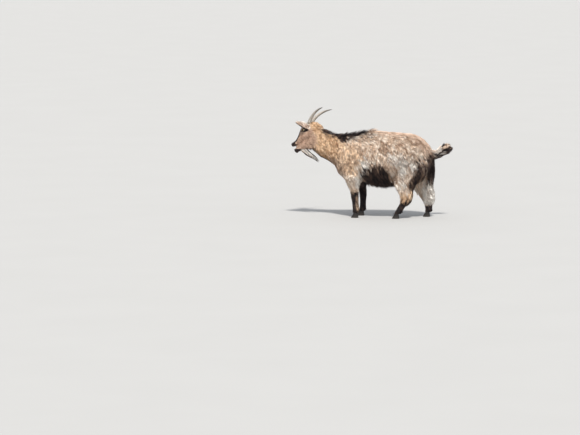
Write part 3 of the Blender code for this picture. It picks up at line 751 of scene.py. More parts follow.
def hair_colour_tree():
    """The colour of a hair from its markings, its lock and how far along it we are."""
    tree = bpy.data.node_groups.new("goat hair colour", "ShaderNodeTree")
    for end, name, kind in (
        ("INPUT", "Root painted shade", "Float"),
        ("INPUT", "Lock contrast", "Float"),
        ("OUTPUT", "Colour", "Color"),
    ):
        tree.interface.new_socket(name, in_out=end, socket_type="NodeSocket" + kind)
    given = tree.nodes.new("NodeGroupInput").outputs
    root = kept_value(tree, "root").outputs["Vector"]
    marks_read = kept_value(tree, "marks")
    marks = add(tree, "ShaderNodeSeparateColor", {0: marks_read.outputs["Color"]}).outputs
    dark_mark, pale_mark, warm_mark, grey_mark = *marks[:3], marks_read.outputs["Alpha"]
    tone, lock, along = parts_of(tree, kept_value(tree, "strand").outputs["Vector"])

    # Each mark's edge is broken up by a slow pattern, then by lock and by single tuft.
    broken = scaled_from(tree, noise(tree, root, 24), 0.5, 0.8, clamp=False)
    broken = maths(tree, "ADD", broken, scaled_from(tree, lock, 0.5, 0.60, clamp=False))
    broken = maths(tree, "ADD", broken, scaled_from(tree, tone, 0.5, 0.55, clamp=False))

    def mark(value, sharpness):
        halfway = maths(tree, "MULTIPLY", value, maths(tree, "SUBTRACT", 1.0, value))
        moved = maths(tree, "MULTIPLY", broken, maths(tree, "MULTIPLY", 4.0, halfway))
        edged = scaled_from(tree, maths(tree, "ADD", value, moved), 0.5, sharpness, clamp=False)
        return maths(tree, "ADD", edged, 0.5, clamp=True)

    # Locks differ: most buff, some cream, some brown, as they weather.
    streak = maths(tree, "MULTIPLY", lock, given["Lock contrast"])
    streak = maths(tree, "ADD", streak, maths(tree, "MULTIPLY", noise(tree, root, 9, 3.0), 0.9))
    streak = maths(tree, "ADD", streak, maths(tree, "MULTIPLY", tone, 0.40))
    fine_streak = noise(tree, root, 75, 2.0, (1, 0.75, 0.30))
    streak = maths(tree, "ADD", streak, scaled_from(tree, fine_streak, 0.5, 1.3, clamp=False))
    half_tone, half_lock = (maths(tree, "MULTIPLY", value, 0.5) for value in (tone, lock))
    tuft_and_lock = maths(tree, "ADD", half_tone, half_lock)

    def hair(start, slope, colours, value=streak):
        return blend(tree, scaled_from(tree, value, start, slope), *colours)

    colour = hair(1.06, 2.6, (hair(0.62, 2.3, BUFF), CREAM))
    colour = blend(tree, mark(warm_mark, 1.6), colour, hair(0.66, 1.7, WARM))
    colour = blend(tree, mark(grey_mark, 1.6), colour, hair(0.55, 1.5, GREY))
    colour = blend(tree, mark(pale_mark, 1.6), colour, hair(0.62, 1.9, PALE))
    colour = blend(tree, mark(dark_mark, 3.0), colour, hair(0.52, 2.6, BLACK, tuft_and_lock))
    # Every hair has its own tone, and is darker at its root than at its tip: the root's darkening is
    # painted shade, the shadow down among the hair.
    root_painted_shade = given["Root painted shade"]
    to_tip = maths(tree, "MULTIPLY", along, maths(tree, "SUBTRACT", TIP_SHADE, root_painted_shade))
    own_shade = maths(tree, "ADD", 0.80, maths(tree, "MULTIPLY", tone, 0.50))
    shade = maths(tree, "MULTIPLY", maths(tree, "ADD", root_painted_shade, to_tip), own_shade)
    shaded = add(tree, "ShaderNodeVectorMath", {0: colour, "Scale": shade}, operation="SCALE")
    add(tree, "NodeGroupOutput", {"Colour": shaded})
    return tree


hair_colour = hair_colour_tree()


def coat_material(name, root_painted_shade, contrast, roughness=0.62):
    """Hair: matte with a faint sheen, streaked and grooved along each tuft by its own map."""

    def settle(tree, shader):
        given = {"Root painted shade": root_painted_shade, "Lock contrast": contrast}
        colour = add(tree, "ShaderNodeGroup", given, node_tree=hair_colour)
        flat = add(tree, "ShaderNodeUVMap", uv_map="along hair")
        grooves = noise(tree, flat, 1.0, 2.0, (11.0, 1.3, 1.0))
        fill(tree, shader, {
            "Base Color": blend(tree, 0.55, colour.outputs["Colour"], grooves, "SOFT_LIGHT"),
            "Roughness": roughness,
            "Specular IOR Level": 0.25,
            "Normal": relief(tree, grooves, 0.5, 0.0005),
        })

    return finished(name, settle)


def skin_finish(tree, shader):
    """The hide itself: short underfur in the coat's colours under the hair's painted root shade, and dark,
    damp bare skin.
    """
    colour = add(tree, "ShaderNodeGroup", {"Root painted shade": 0.62, "Lock contrast": 0.5}, node_tree=hair_colour)
    bare_here, in_mouth, _ = parts_of(tree, kept_value(tree, "skin").outputs["Vector"])
    pores = add(tree, "ShaderNodeTexVoronoi", {"Vector": on_object(tree), "Scale": 750.0})
    underfur = noise(tree, on_object(tree), 900.0, 3.0, (1.0, 0.25, 0.6))
    bare_skin = blend(tree, in_mouth, (0.020, 0.016, 0.016), (0.145, 0.062, 0.055))
    height = add(tree, "ShaderNodeMix", {0: bare_here, 2: underfur, 3: pores}, data_type="FLOAT")
    fill(tree, shader, {
        "Base Color": blend(tree, bare_here, colour.outputs["Colour"], bare_skin),
        "Roughness": add(tree, "ShaderNodeMapRange", {"Value": bare_here, "To Min": 0.75, "To Max": 0.36}),
        "Specular IOR Level": 0.35,
        "Normal": relief(tree, height, 0.6, 0.0008),
    })


hide_mesh = face_mesh("hide", hide_points, hide_faces)
remember(hide_mesh, "root", hide_points)
remember(hide_mesh, "marks", marks)
remember(hide_mesh, "strand", np.tile((0.5, 0.5, 0.35), (hide_count, 1)))
remember(hide_mesh, "skin", np.stack([bare, np.clip(mouth_inside, 0, 1), bare], axis=1))
hide = put("hide", hide_mesh, finished("hide", skin_finish))
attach(hide, "root")
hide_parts(*FLESH)

# ---------------------------------------------------------------- the eyes
# Each eye is a wet ball, a little fuller in front, with a pale amber iris round a level slot of
# a pupil. A black rim, the bare edge of the lids, seals it all round the almond gap.


def graded(tree, value, *stops):
    """A colour ramp: stops are (place, red, green, blue)."""
    node = add(tree, "ShaderNodeValToRGB", {0: value})
    while len(node.color_ramp.elements) < len(stops):
        node.color_ramp.elements.new(0.5)
    for element, (place, *colour) in zip(node.color_ramp.elements, stops):
        element.position = place
        element.color = (*colour, 1)
    return node.outputs[0]


def eye_finish(tree, shader):
    seen = kept_value(tree, "from pupil").outputs["Vector"]
    in_pupil, _, off_axis = parts_of(tree, seen)
    iris = graded(
        tree, off_axis,
        (0.0, 0.40, 0.27, 0.13), (0.30, 0.74, 0.58, 0.33), (0.60, 0.52, 0.37, 0.18),
        (0.70, 0.030, 0.018, 0.010), (1.0, 0.10, 0.07, 0.055),
    )
    iris = blend(tree, 0.8, iris, noise(tree, seen, 9.0, 4.0), "SOFT_LIGHT")
    fill(tree, shader, {
        "Base Color": blend(tree, in_pupil, iris, (0.004, 0.004, 0.006)),
        "Roughness": 0.06, "IOR": 1.38, "Coat Weight": 0.6, "Coat Roughness": 0.02,
    })


def lid_rim_finish(tree, shader):
    specks = noise(tree, on_object(tree), 500.0)
    colour = graded(tree, specks, (0.3, 0.010, 0.008, 0.008), (0.8, 0.035, 0.026, 0.024))
    fill(tree, shader, {"Base Color": colour, "Roughness": 0.28})


eye_material = finished("eye", eye_finish)
rim_material = finished("lid rim", lid_rim_finish)


def tube_faces(rings, sides):
    """Quads between closed rings of points, the last ring meeting the first."""
    ring, side = np.meshgrid(np.arange(rings), np.arange(sides), indexing="ij")
    after, beside_it = (ring + 1) % rings, (side + 1) % sides
    corners = [ring * sides + side, ring * sides + beside_it]
    corners += [after * sides + beside_it, after * sides + side]
    return np.stack([corner.reshape(-1) for corner in corners], axis=1)


def faced_out(mesh):
    """The mesh with every face turned outwards."""
    shape = bmesh.new()
    shape.from_mesh(mesh)
    bmesh.ops.remove_doubles(shape, verts=shape.verts, dist=1e-6)
    bmesh.ops.recalc_face_normals(shape, faces=shape.faces)
    shape.to_mesh(mesh)
    shape.free()
    return mesh


# The pupil is measured on a ball of radius 1; the iris bulges a little from the real one.
PUPIL_HALF_LENGTH, PUPIL_HALF_HEIGHT = 0.40, 0.13
IRIS_BULGE = 0.0009
RIM_RINGS, RIM_SIDES = 48, 8
RIM_OUT, RIM_THICKNESS = 0.0006, 0.0010
for word, side in (("left", 1), ("right", -1)):
    ball = bpy.data.meshes.new("eyeball_" + word)
    shape = bmesh.new()
    bmesh.ops.create_uvsphere(shape, u_segments=64, v_segments=40, radius=1.0)
    shape.to_mesh(ball)
    shape.free()
    look = Vector(eye_look[side])
    level = look.cross(Vector((0, 0, 1))).normalized()
    upright = level.cross(look).normalized()
    turn = Matrix((level, upright, look)).transposed()
    local = np.array([v.co[:] for v in ball.vertices])
    off_axis = np.hypot(local[:, 0], local[:, 1])
    pupil_long, pupil_high = local[:, 0] / PUPIL_HALF_LENGTH, local[:, 1] / PUPIL_HALF_HEIGHT
    pupil_away = np.maximum(np.abs(pupil_long), np.abs(pupil_high))
    in_front = local[:, 2] > 0
    pupil = ramp(pupil_away, 1.12, 0.92) * in_front
    bulged = local * EYE_RADIUS
    bulged[:, 2] += IRIS_BULGE * ramp(off_axis, 0.75, 0.35) * in_front
    world_places = bulged @ np.array(turn).T + np.array(eye_middle[side])
    ball.vertices.foreach_set("co", world_places.astype(np.float32).reshape(-1))
    from_pupil = np.stack([pupil, local[:, 1], np.where(in_front, off_axis, 1)], axis=1)
    remember(ball, "from pupil", from_pupil)
    piece = put("eyeball_" + word, ball, eye_material)
    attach(piece, "root")
    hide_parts("eye_" + word)

    # The rim runs along the upper edge of the gap and back along the lower one.
    half_way = np.linspace(-1, 1, RIM_RINGS // 2 + 1)[:-1]
    long_turns = np.concatenate([half_way, -half_way]) * GAP_LONG
    _, edge_above, edge_below = gap_edges(long_turns)
    up_turns = np.where(np.arange(RIM_RINGS) < RIM_RINGS // 2, edge_above, edge_below)
    long_turns, up_turns = np.radians(long_turns), np.radians(up_turns)
    ways = (
        (np.cos(up_turns) * np.cos(long_turns))[:, None] * eye_look[side]
        + (np.cos(up_turns) * np.sin(long_turns))[:, None] * eye_fore[side]
        + np.sin(up_turns)[:, None] * eye_rise[side]
    )
    line = np.array(eye_middle[side]) + ways * (EYE_RADIUS + RIM_OUT)
    onward = unit(np.roll(line, -1, axis=0) - np.roll(line, 1, axis=0))
    outside = unit(np.cross(onward, ways))
    around = np.linspace(0, 2 * math.pi, RIM_SIDES, endpoint=False)
    rim_points = (
        line[:, None]
        + ways[:, None] * (RIM_THICKNESS * np.cos(around))[None, :, None]
        + outside[:, None] * (RIM_THICKNESS * np.sin(around))[None, :, None]
    )
    rim_faces = tube_faces(RIM_RINGS, RIM_SIDES)
    rim = faced_out(face_mesh("lid_rim_" + word, rim_points.reshape(-1, 3), rim_faces))
    piece = put("lid_rim_" + word, rim, rim_material)
    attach(piece, "root")

# ---------------------------------------------------------------- the tongue and lower teeth
# The tongue lies in the lowered jaw, a flat muscle that thins to its tip. Ahead of it stand
# the eight lower front teeth, set in a bow; above them a goat has only a pad.


def flesh_finish(tree, shader):
    buds = add(tree, "ShaderNodeTexVoronoi", {"Vector": on_object(tree), "Scale": 900.0})
    mottle = noise(tree, on_object(tree), 90.0)
    fill(tree, shader, {
        "Base Color": graded(tree, mottle, (0.35, 0.20, 0.085, 0.075), (0.7, 0.36, 0.17, 0.15)),
        "Roughness": 0.3,
        "Normal": relief(tree, buds, 0.5, 0.0005),
    })


# Each row is a place along the closed jaw, its height, and half the tongue's width and depth.
TONGUE = (
    (112, -88, 12, 5), (130, -85, 14, 7), (160, -84, 14.5, 7),
    (190, -84.5, 13, 6), (212, -85, 11, 4.5), (224, -85.5, 6.5, 2.5),
)
TONGUE_RINGS, TONGUE_SIDES = 24, 16
GROOVE_DEPTH = 1.6
tongue_points = []
for s in np.linspace(TONGUE[0][0], TONGUE[-1][0], TONGUE_RINGS):
    t, half_width, half_height = between_rows(TONGUE, s)
    for turn in np.linspace(0, 2 * math.pi, TONGUE_SIDES, endpoint=False):
        groove = GROOVE_DEPTH * math.exp(-((math.sin(turn) / 0.25) ** 2)) * (math.cos(turn) > 0)
        ahead, above = swung(s, t + half_height * math.cos(turn) - groove)
        tongue_points.append(in_head(ahead, half_width * math.sin(turn), above))
tongue_faces = tube_faces(TONGUE_RINGS, TONGUE_SIDES)[: (TONGUE_RINGS - 1) * TONGUE_SIDES]
tongue_mesh = face_mesh("tongue", np.array(tongue_points), tongue_faces)
shape = bmesh.new()
shape.from_mesh(tongue_mesh)
bmesh.ops.holes_fill(shape, edges=[edge for edge in shape.edges if edge.is_boundary], sides=0)
bmesh.ops.triangulate(shape, faces=[face for face in shape.faces if len(face.verts) > 4])
shape.to_mesh(tongue_mesh)
shape.free()
tongue = put("tongue", faced_out(tongue_mesh), finished("tongue", flesh_finish))
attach(tongue, "root")


def shape_tree(name, inputs):
    """A Geometry Nodes tree and what it is given; shape_ends closes it."""
    tree = bpy.data.node_groups.new(name, "GeometryNodeTree")
    for label, kind in inputs.items():
        tree.interface.new_socket(label, in_out="INPUT", socket_type="NodeSocket" + kind)
    tree.interface.new_socket("Geometry", in_out="OUTPUT", socket_type="NodeSocketGeometry")
    return tree, tree.nodes.new("NodeGroupInput").outputs


def shape_ends(tree, shape, finish):
    """The copies made real and given their finish, as what the tree puts out."""
    real = add(tree, "GeometryNodeRealizeInstances", {0: shape})
    painted = add(tree, "GeometryNodeSetMaterial", {"Geometry": real, "Material": finish})
    add(tree, "NodeGroupOutput", {0: painted})


def made_by(tree, name, start_mesh, **values):
    """The plain mesh that a tree makes, given its inputs by label (_ for a space)."""
    maker = bpy.data.objects.new(name, start_mesh)
    bpy.context.scene.collection.objects.link(maker)
    modifier = maker.modifiers.new(tree.name, "NODES")
    modifier.node_group = tree
    for socket in tree.interface.items_tree:
        label = socket.name.replace(" ", "_")
        if socket.in_out == "INPUT" and label in values:
            modifier[socket.identifier] = values[label]
    solid = maker.evaluated_get(bpy.context.evaluated_depsgraph_get())
    mesh = bpy.data.meshes.new_from_object(solid)
    mesh.name = name
    bpy.data.objects.remove(maker)
    return mesh


def tooth_finish(tree, shader):
    stain = noise(tree, on_object(tree), 260.0)
    colour = graded(tree, stain, (0.3, 0.42, 0.33, 0.20), (0.62, 0.72, 0.66, 0.52))
    fill(tree, shader, {"Base Color": colour, "Roughness": 0.25})


teeth_tree, given = shape_tree("bow of front teeth", {
    "Geometry": "Geometry", "Count": "Int", "Bow radius": "Float", "Tooth size": "Vector",
    "Finish": "Material",
})
bow = add(teeth_tree, "GeometryNodeCurveArc", {
    "Radius": given["Bow radius"], "Resolution": 48,
    "Start Angle": math.radians(18), "Sweep Angle": math.radians(144),
})
tooth_places = add(teeth_tree, "GeometryNodeResampleCurve", {"Curve": bow, "Count": given["Count"]})
tooth = add(teeth_tree, "GeometryNodeMeshCone", {
    "Vertices": 12, "Side Segments": 3, "Radius Top": 0.5, "Radius Bottom": 0.32, "Depth": 1.0,
})
along_bow = add(teeth_tree, "GeometryNodeInputTangent")
facing = add(teeth_tree, "FunctionNodeAlignEulerToVector", {"Vector": along_bow}, axis="X")
row = add(teeth_tree, "GeometryNodeInstanceOnPoints", {
    "Points": tooth_places, "Instance": tooth, "Rotation": facing, "Scale": given["Tooth size"],
})
shape_ends(teeth_tree, row, given["Finish"])

TEETH_MIDDLE = (229, -83)
TEETH_LEAN = math.radians(-24)
teeth_mesh = made_by(
    teeth_tree, "front_teeth", bpy.data.meshes.new("bow"), Count=8, Bow_radius=0.0105,
    Tooth_size=(0.0047, 0.0026, 0.0105), Finish=finished("front teeth", tooth_finish),
)
jaw_turn = head_turn @ Matrix.Rotation(MOUTH_OPEN, 3, "X")
bow_turn = Matrix.Rotation(math.radians(180), 3, "Z") @ Matrix.Rotation(TEETH_LEAN, 3, "X")
ahead, above = swung(*TEETH_MIDDLE)
teeth_mesh.transform(Matrix.Translation(in_head(ahead, 0, above)) @ (jaw_turn @ bow_turn).to_4x4())
teeth = put("front_teeth", faced_out(teeth_mesh))
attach(teeth, "root")

# ---------------------------------------------------------------- the horns
# Each horn is a tapering sheath of grey horn, keeled in front, that rises, sweeps back and
# spreads. Yearly rings stand out near its root; the tip is smooth and dark.
HORN_LENGTH, HORN_THICKNESS = 0.218, 0.0155
HORN_STATIONS = 64


def horn_line(side):
    """Points down the middle of a horn, each step turned a little further than the last."""
    place = Vector((side * 21, -42, 2)) * HEAD_UNIT
    line = [poll + head_turn @ place]
    for i in range(HORN_STATIONS):
        t = i / HORN_STATIONS
        rise = math.radians(42 - 62 * t**0.9)
        spread = math.radians(27) * (0.55 + 0.75 * t)
        back, up = math.cos(spread) * math.cos(rise), math.cos(spread) * math.sin(rise)
        place = place + Vector((side * math.sin(spread), back, up)) * HORN_LENGTH / HORN_STATIONS
        line.append(poll + head_turn @ place)
    return line


def horn_finish(tree, shader):
    along = kept_value(tree, "along horn").outputs["Fac"]
    around = kept_value(tree, "round horn").outputs["Fac"]
    fibre_place = add(tree, "ShaderNodeCombineXYZ", {
        0: maths(tree, "MULTIPLY", around, 30.0), 1: maths(tree, "MULTIPLY", along, 4.0),
    })
    fibres = noise(tree, fibre_place, 1.0, 4.0)
    grey = graded(
        tree, fibres,
        (0.28, 0.075, 0.060, 0.048), (0.48, 0.26, 0.225, 0.190), (0.72, 0.52, 0.485, 0.43),
    )
    worn = blend(tree, 0.8, grey, noise(tree, on_object(tree), 45.0, 3.0), "SOFT_LIGHT")
    tip = graded(
        tree, along,
        (0.0, 0.62, 0.55, 0.46), (0.10, 1, 1, 1), (0.55, 0.95, 0.95, 0.95), (0.95, 0.16, 0.14, 0.13),
    )
    fill(tree, shader, {
        "Base Color": blend(tree, 1.0, worn, tip, "MULTIPLY"),
        "Roughness": 0.5,
        "Normal": relief(tree, fibres, 0.5, 0.0006),
    })


horn_tree, given = shape_tree("ringed horn", {
    "Geometry": "Geometry", "Thickness": "Float", "Fore and aft": "Float", "Side to side": "Float",
    "Rings": "Float", "Ring height": "Float", "Finish": "Material",
})


def sums(operation, *values):
    return maths(horn_tree, operation, *values)


# The middle line, with the share of the way to the tip kept on it.
share = add(horn_tree, "GeometryNodeSplineParameter").outputs["Factor"]
line = add(horn_tree, "GeometryNodeMeshToCurve", {"Mesh": given["Geometry"]})
line = add(horn_tree, "GeometryNodeResampleCurve", {"Curve": line, "Count": 230})
line = add(horn_tree, "GeometryNodeSetCurveNormal", {"Curve": line}, mode="Z_UP")
kept = {"Geometry": line, "Name": "along horn", "Value": share}
line = add(horn_tree, "GeometryNodeStoreNamedAttribute", kept)
# The thickness: a taper with rings on it that wander a little and fade towards the tip.
wander = add(horn_tree, "ShaderNodeTexNoise", {"W": share, "Scale": 7.0}, noise_dimensions="1D")
even_count = sums("MULTIPLY", sums("POWER", share, 0.9), given["Rings"])
ring_count = sums("ADD", even_count, sums("MULTIPLY", wander, 1.6))
ridge = sums("POWER", sums("ABSOLUTE", sums("SINE", sums("MULTIPLY", ring_count, math.pi))), 0.6)
fade = sums("MAXIMUM", sums("SUBTRACT", 1.0, sums("MULTIPLY", share, 1.25)), 0.05)
ring_rise = sums("MULTIPLY", sums("MULTIPLY", sums("SUBTRACT", ridge, 0.6), given["Ring height"]), fade)
taper = sums("POWER", sums("SUBTRACT", 1.0, share), 0.62)
ringed = sums("MULTIPLY", taper, sums("ADD", 0.97, ring_rise))
size = sums("MAXIMUM", sums("MULTIPLY", ringed, given["Thickness"]), 0.0009)
# The section: a ring flattened from side to side and pinched to a keel in front.
section = add(horn_tree, "GeometryNodeCurvePrimitiveCircle", {"Resolution": 28, "Radius": 1.0})
across, fore, _ = parts_of(horn_tree, add(horn_tree, "GeometryNodeInputPosition"))
round_horn = sums("ADD", across, sums("MULTIPLY", fore, 0.37))
kept = {"Geometry": section, "Name": "round horn", "Value": round_horn}
section = add(horn_tree, "GeometryNodeStoreNamedAttribute", kept)
pinch = sums("SUBTRACT", 1.0, sums("MULTIPLY", sums("MAXIMUM", fore, 0.0), 0.38))
keeled = add(horn_tree, "ShaderNodeCombineXYZ", {
    0: sums("MULTIPLY", sums("MULTIPLY", across, pinch), given["Side to side"]),
    1: sums("MULTIPLY", fore, given["Fore and aft"]),
})
section = add(horn_tree, "GeometryNodeSetPosition", {"Geometry": section, "Position": keeled})
sheath = add(horn_tree, "GeometryNodeCurveToMesh", {
    "Curve": line, "Profile Curve": section, "Scale": size, "Fill Caps": True,
})
shape_ends(horn_tree, sheath, given["Finish"])

horn_material = finished("horn", horn_finish)
for word, side in (("left", 1), ("right", -1)):
    line_mesh = bpy.data.meshes.new("horn_line_" + word)
    steps = [(i, i + 1) for i in range(HORN_STATIONS)]
    line_mesh.from_pydata([tuple(place) for place in horn_line(side)], steps, [])
    mesh = made_by(
        horn_tree, "horn_" + word + "_sheath", line_mesh, Thickness=HORN_THICKNESS, Fore_and_aft=1.12,
        Side_to_side=0.80, Rings=15.0, Ring_height=0.13, Finish=horn_material,
    )
    piece = put("horn_" + word + "_sheath", faced_out(mesh))
    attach(piece, "root")
    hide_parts("horn_" + word)

# ---------------------------------------------------------------- the hooves and dewclaws
# Each foot ends in two claws of black horn with growth rings round the wall and a flat sole.
# Two small dewclaws stand behind each fetlock.


def hoof_finish(tree, shader):
    height_up = parts_of(tree, on_object(tree))[2]
    drift = maths(tree, "MULTIPLY", noise(tree, on_object(tree), 55.0), 0.010)
    rings = maths(tree, "SINE", maths(tree, "MULTIPLY", maths(tree, "ADD", height_up, drift), 1500.0))
    grain = noise(tree, on_object(tree), 420.0, 4.0)
    wear = maths(tree, "ADD", grain, maths(tree, "MULTIPLY", height_up, -9.0))
    colour = graded(
        tree, wear,
        (0.12, 0.010, 0.009, 0.009), (0.45, 0.026, 0.022, 0.020), (0.75, 0.085, 0.070, 0.056),
    )
    ridges = maths(tree, "ADD", maths(tree, "MULTIPLY", rings, 0.3), grain)
    fill(tree, shader, {
        "Base Color": colour,
        "Roughness": 0.55,
        "Specular IOR Level": 0.25,
        "Normal": relief(tree, ridges, 0.5, 0.0004),
    })


HOOF_MESH_SIZE, HOOF_WEAR = 0.0017, 7
SOLE, FLAT_BELOW = 0.0002, 0.0024
DEWCLAW_LEVEL = 0.056
DEWCLAW_TURN = Matrix.Rotation(math.radians(-156), 4, "X")

hoof_material = finished("hoof", hoof_finish)
dewclaw_shape = bmesh.new()
for leg in ("foreleg_left", "foreleg_right", "hind_leg_left", "hind_leg_right"):
    for which in ("inner", "outer"):
        node = "hoof_%s_%s" % (leg, which)
        mesh = evened(node + "_claw", corners_of(node), HOOF_MESH_SIZE, HOOF_WEAR)
        places = np.array([v.co[:] for v in mesh.vertices])
        places[:, 2] = np.where(places[:, 2] < FLAT_BELOW, SOLE, places[:, 2])
        mesh.vertices.foreach_set("co", places.astype(np.float32).reshape(-1))
        mesh.update()
        piece = put(node + "_claw", mesh, hoof_material)
        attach(piece, "root")
        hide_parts(node)

        # The dewclaw stands on the hide above the claw's heel.
        from_claw = np.abs(hide_points - (*middle_of(node)[:2], DEWCLAW_LEVEL))
        heel = hide_points[np.flatnonzero((from_claw < (0.006, 0.09, 0.006)).all(axis=1))]
        heel = Vector(heel[np.argmax(heel[:, 1])])
        bone = bmesh.ops.create_cone(
            dewclaw_shape, cap_ends=True, segments=12, radius1=0.0052, radius2=0.0018, depth=0.019
        )["verts"]
        stand = Matrix.Translation(heel + Vector((0, 0.0010, -0.003))) @ DEWCLAW_TURN
        bmesh.ops.transform(dewclaw_shape, matrix=stand, verts=bone)
bmesh.ops.bevel(dewclaw_shape, geom=dewclaw_shape.edges[:], offset=0.0006, segments=2, affect="EDGES")
dewclaw_mesh = bpy.data.meshes.new("dewclaws")
dewclaw_shape.to_mesh(dewclaw_mesh)
dewclaw_shape.free()
dewclaws = put("dewclaws", faced_out(dewclaw_mesh), hoof_material)
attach(dewclaws, "root")

# ---------------------------------------------------------------- the coat
# The coat is thousands of tapering tufts rooted in the hide. Each follows the lie of the hair,
# keeps to the body at its own height and draws together with its neighbours into a lock.

# The lie of the hair: which way it points at each place, mostly back and down.
to_side = np.clip(x / 0.04, -1, 1)[:, None]
low_down = ramp(z, 0.665, 0.540)[:, None]
SIDEWAYS, BACKWARD, DOWN = np.eye(3) * (1, 1, -1)
under_cheek = ramp(up, -20, -60)[:, None]
way = {
    "trunk": (
        to_side * SIDEWAYS * 0.6 * (1 - low_down)
        + BACKWARD * (0.95 - 0.45 * low_down) + DOWN * (0.2 + 0.75 * low_down)
    ),
    "head": along_head(-1, 0, -0.05) + along_head(0, 0, -1) * 0.35 * under_cheek,
}
EVEN_WAYS = {
    "neck": BACKWARD * 0.60 + DOWN * 0.70,
    "jaw": along_head(-1, 0, -0.30),
    "tail": BACKWARD * 0.88 - DOWN * 0.45,
    "upper_foreleg": BACKWARD * 0.18 + DOWN,
    "lower_foreleg": BACKWARD * 0.08 + DOWN,
    "upper_hind_leg": BACKWARD * 0.30 + DOWN,
    "lower_hind_leg": BACKWARD * 0.05 + DOWN,
}
way.update({part: np.tile(one_way, (hide_count, 1)) for part, one_way in EVEN_WAYS.items()})
way["ear"] = np.where((head_at[:, 1] > 0)[:, None], ear_way[1], ear_way[-1])
lie = sum(way[part] * part_of[part][:, None] for part in PARTS)
# Hair parts along the crest and falls to both sides of it; on the rump and chest it hangs.
lie += to_side * SIDEWAYS * 0.5 * (near_chain(hide_points, CREST, 0.03, 0.03) * on_body)[:, None]
lie += DOWN * (1.2 * ramp(y, 0.42, 0.48) * part_of["trunk"])[:, None]
lie += DOWN * (0.8 * ramp(y, -0.20, -0.27) * part_of["trunk"])[:, None]
lie -= hide_outward * np.sum(lie * hide_outward, axis=1)[:, None]
lie = unit(relaxed(unit(lie), 12))
lie = unit(lie - hide_outward * np.sum(lie * hide_outward, axis=1)[:, None])

# Where the hair is longer or stands out: the breeches, the belly, the crest and the poll.
above_hock = z > 0.13
BREECHES = ((0.09, 0.49, 0.42), (0.10, 0.46, 0.30), (0.10, 0.46, 0.17))
THIGH_BACK = ((0.11, 0.42, 0.34), (0.10, 0.33, 0.22), (0.096, 0.31, 0.17))
thigh_back = near_chain(mirrored, THIGH_BACK, 0.03, 0.04) * (x > 0) * above_hock
breeches = np.maximum(near_chain(mirrored, BREECHES, 0.035, 0.05) * above_hock, thigh_back)
under = ramp(hide_outward[:, 2], -0.25, -0.75) * part_of["trunk"] * ramp(z, 0.42, 0.36)
crest = near_chain(hide_points, CREST, 0.018, 0.028) * on_body
poll_tuft = near(head_side, (22, 0, 12), (-10, 8, -10), 20, 18) * part_of["head"]

hair_length = by_part(
    trunk=0.060, neck=0.044, head=0.0088, jaw=0.0105, tail=0.062, ear=0.0085,
    upper_foreleg=0.026, lower_foreleg=0.0120, upper_hind_leg=0.040, lower_hind_leg=0.0125,
)
hair_length += 0.030 * under + 0.034 * breeches + 0.022 * crest + 0.018 * poll_tuft
hair_length += 0.022 * behind_cheek + 0.024 * under_throat + 0.010 * ear_inside
hair_length += 0.011 * ramp(z, 0.058, 0.036) * ramp(z, 0.010, 0.020)
THIGH_FRONTS = (
    ((0.10, 0.205, 0.280), (0.10, 0.222, 0.240), (0.10, 0.236, 0.205)),
    ((-0.10, 0.275, 0.290), (-0.10, 0.330, 0.210)),
)
thigh_front = np.max([near_chain(coat_tips, line, 0.016, 0.026) for line in THIGH_FRONTS], axis=0)
hair_length += 0.012 * thigh_front
nape = near(hide_points, (0, -0.400, 0.715), (0, -0.350, 0.688), 0.030, 0.022) * (1 - part_of["ear"])
hair_length += 0.012 * nape
hair_length *= 0.50 + 0.50 * ramp(eye_gap, 8, 60)
hair_length *= 1 - 0.35 * on_head * ramp(forward, 175, 212)
hair_length = relaxed(hair_length, 4)[:, 0]
tuft_spacing = by_part(
    trunk=0.00402, neck=0.0032, head=0.00216, jaw=0.0024, tail=0.0020, ear=0.0020,
    upper_foreleg=0.0032, lower_foreleg=0.00245, upper_hind_leg=0.0037, lower_hind_leg=0.00245,
)
# How much the hair hangs free of the body, and how much its tips flick out.
hanging = 0.75 * under + 0.50 * breeches + 0.35 * part_of["tail"] * ramp(y, 0.52, 0.58)
hanging = np.clip(hanging + 0.75 * under_throat, 0, 0.9)
flick = 0.05 + 0.02 * breeches + 0.14 * crest + 0.08 * under + 0.10 * poll_tuft
flick = flick + 0.06 * ear_inside + 0.20 * part_of["tail"]


def nearest_of(places):
    """Finds, for each of many points, which of these places lies nearest."""
    tree = kdtree.KDTree(len(places))
    for i, place in enumerate(places.tolist()):
        tree.insert(place, i)
    tree.balance()
    find = tree.find
    return lambda points: np.fromiter((find(p)[1] for p in points.tolist()), np.int64, len(points))


nearest_on_hide = nearest_of(hide_points)
chance = np.random.default_rng(11)
corner = hide_points[hide_faces]
over_face = np.cross(corner[:, 2] - corner[:, 0], corner[:, 3] - corner[:, 1])
face_tufts = np.linalg.norm(over_face, axis=1) / 2 / tuft_spacing[hide_faces].mean(axis=1) ** 2
face_tufts *= 1 - bare[hide_faces].mean(axis=1)
count_up = np.concatenate([[0], np.cumsum(face_tufts)])
counted = np.arange(0.5, count_up[-1]) + chance.uniform(-0.3, 0.3, int(count_up[-1] + 0.5))
root_face = np.searchsorted(count_up, counted, side="right") - 1
root_face = np.clip(root_face, 0, len(hide_faces) - 1)
tuft_count = len(root_face)
across, down = chance.random((2, tuft_count, 1))


def at_root(corner):
    """What a face's four corners hold, at the root's own place within the face."""
    return (
        corner[:, 0] * (1 - across) * (1 - down) + corner[:, 1] * across * (1 - down)
        + corner[:, 2] * across * down + corner[:, 3] * (1 - across) * down
    )


root_place = at_root(hide_points[hide_faces[root_face]])
root_point = nearest_on_hide(root_place)
root_length = hair_length[root_point]

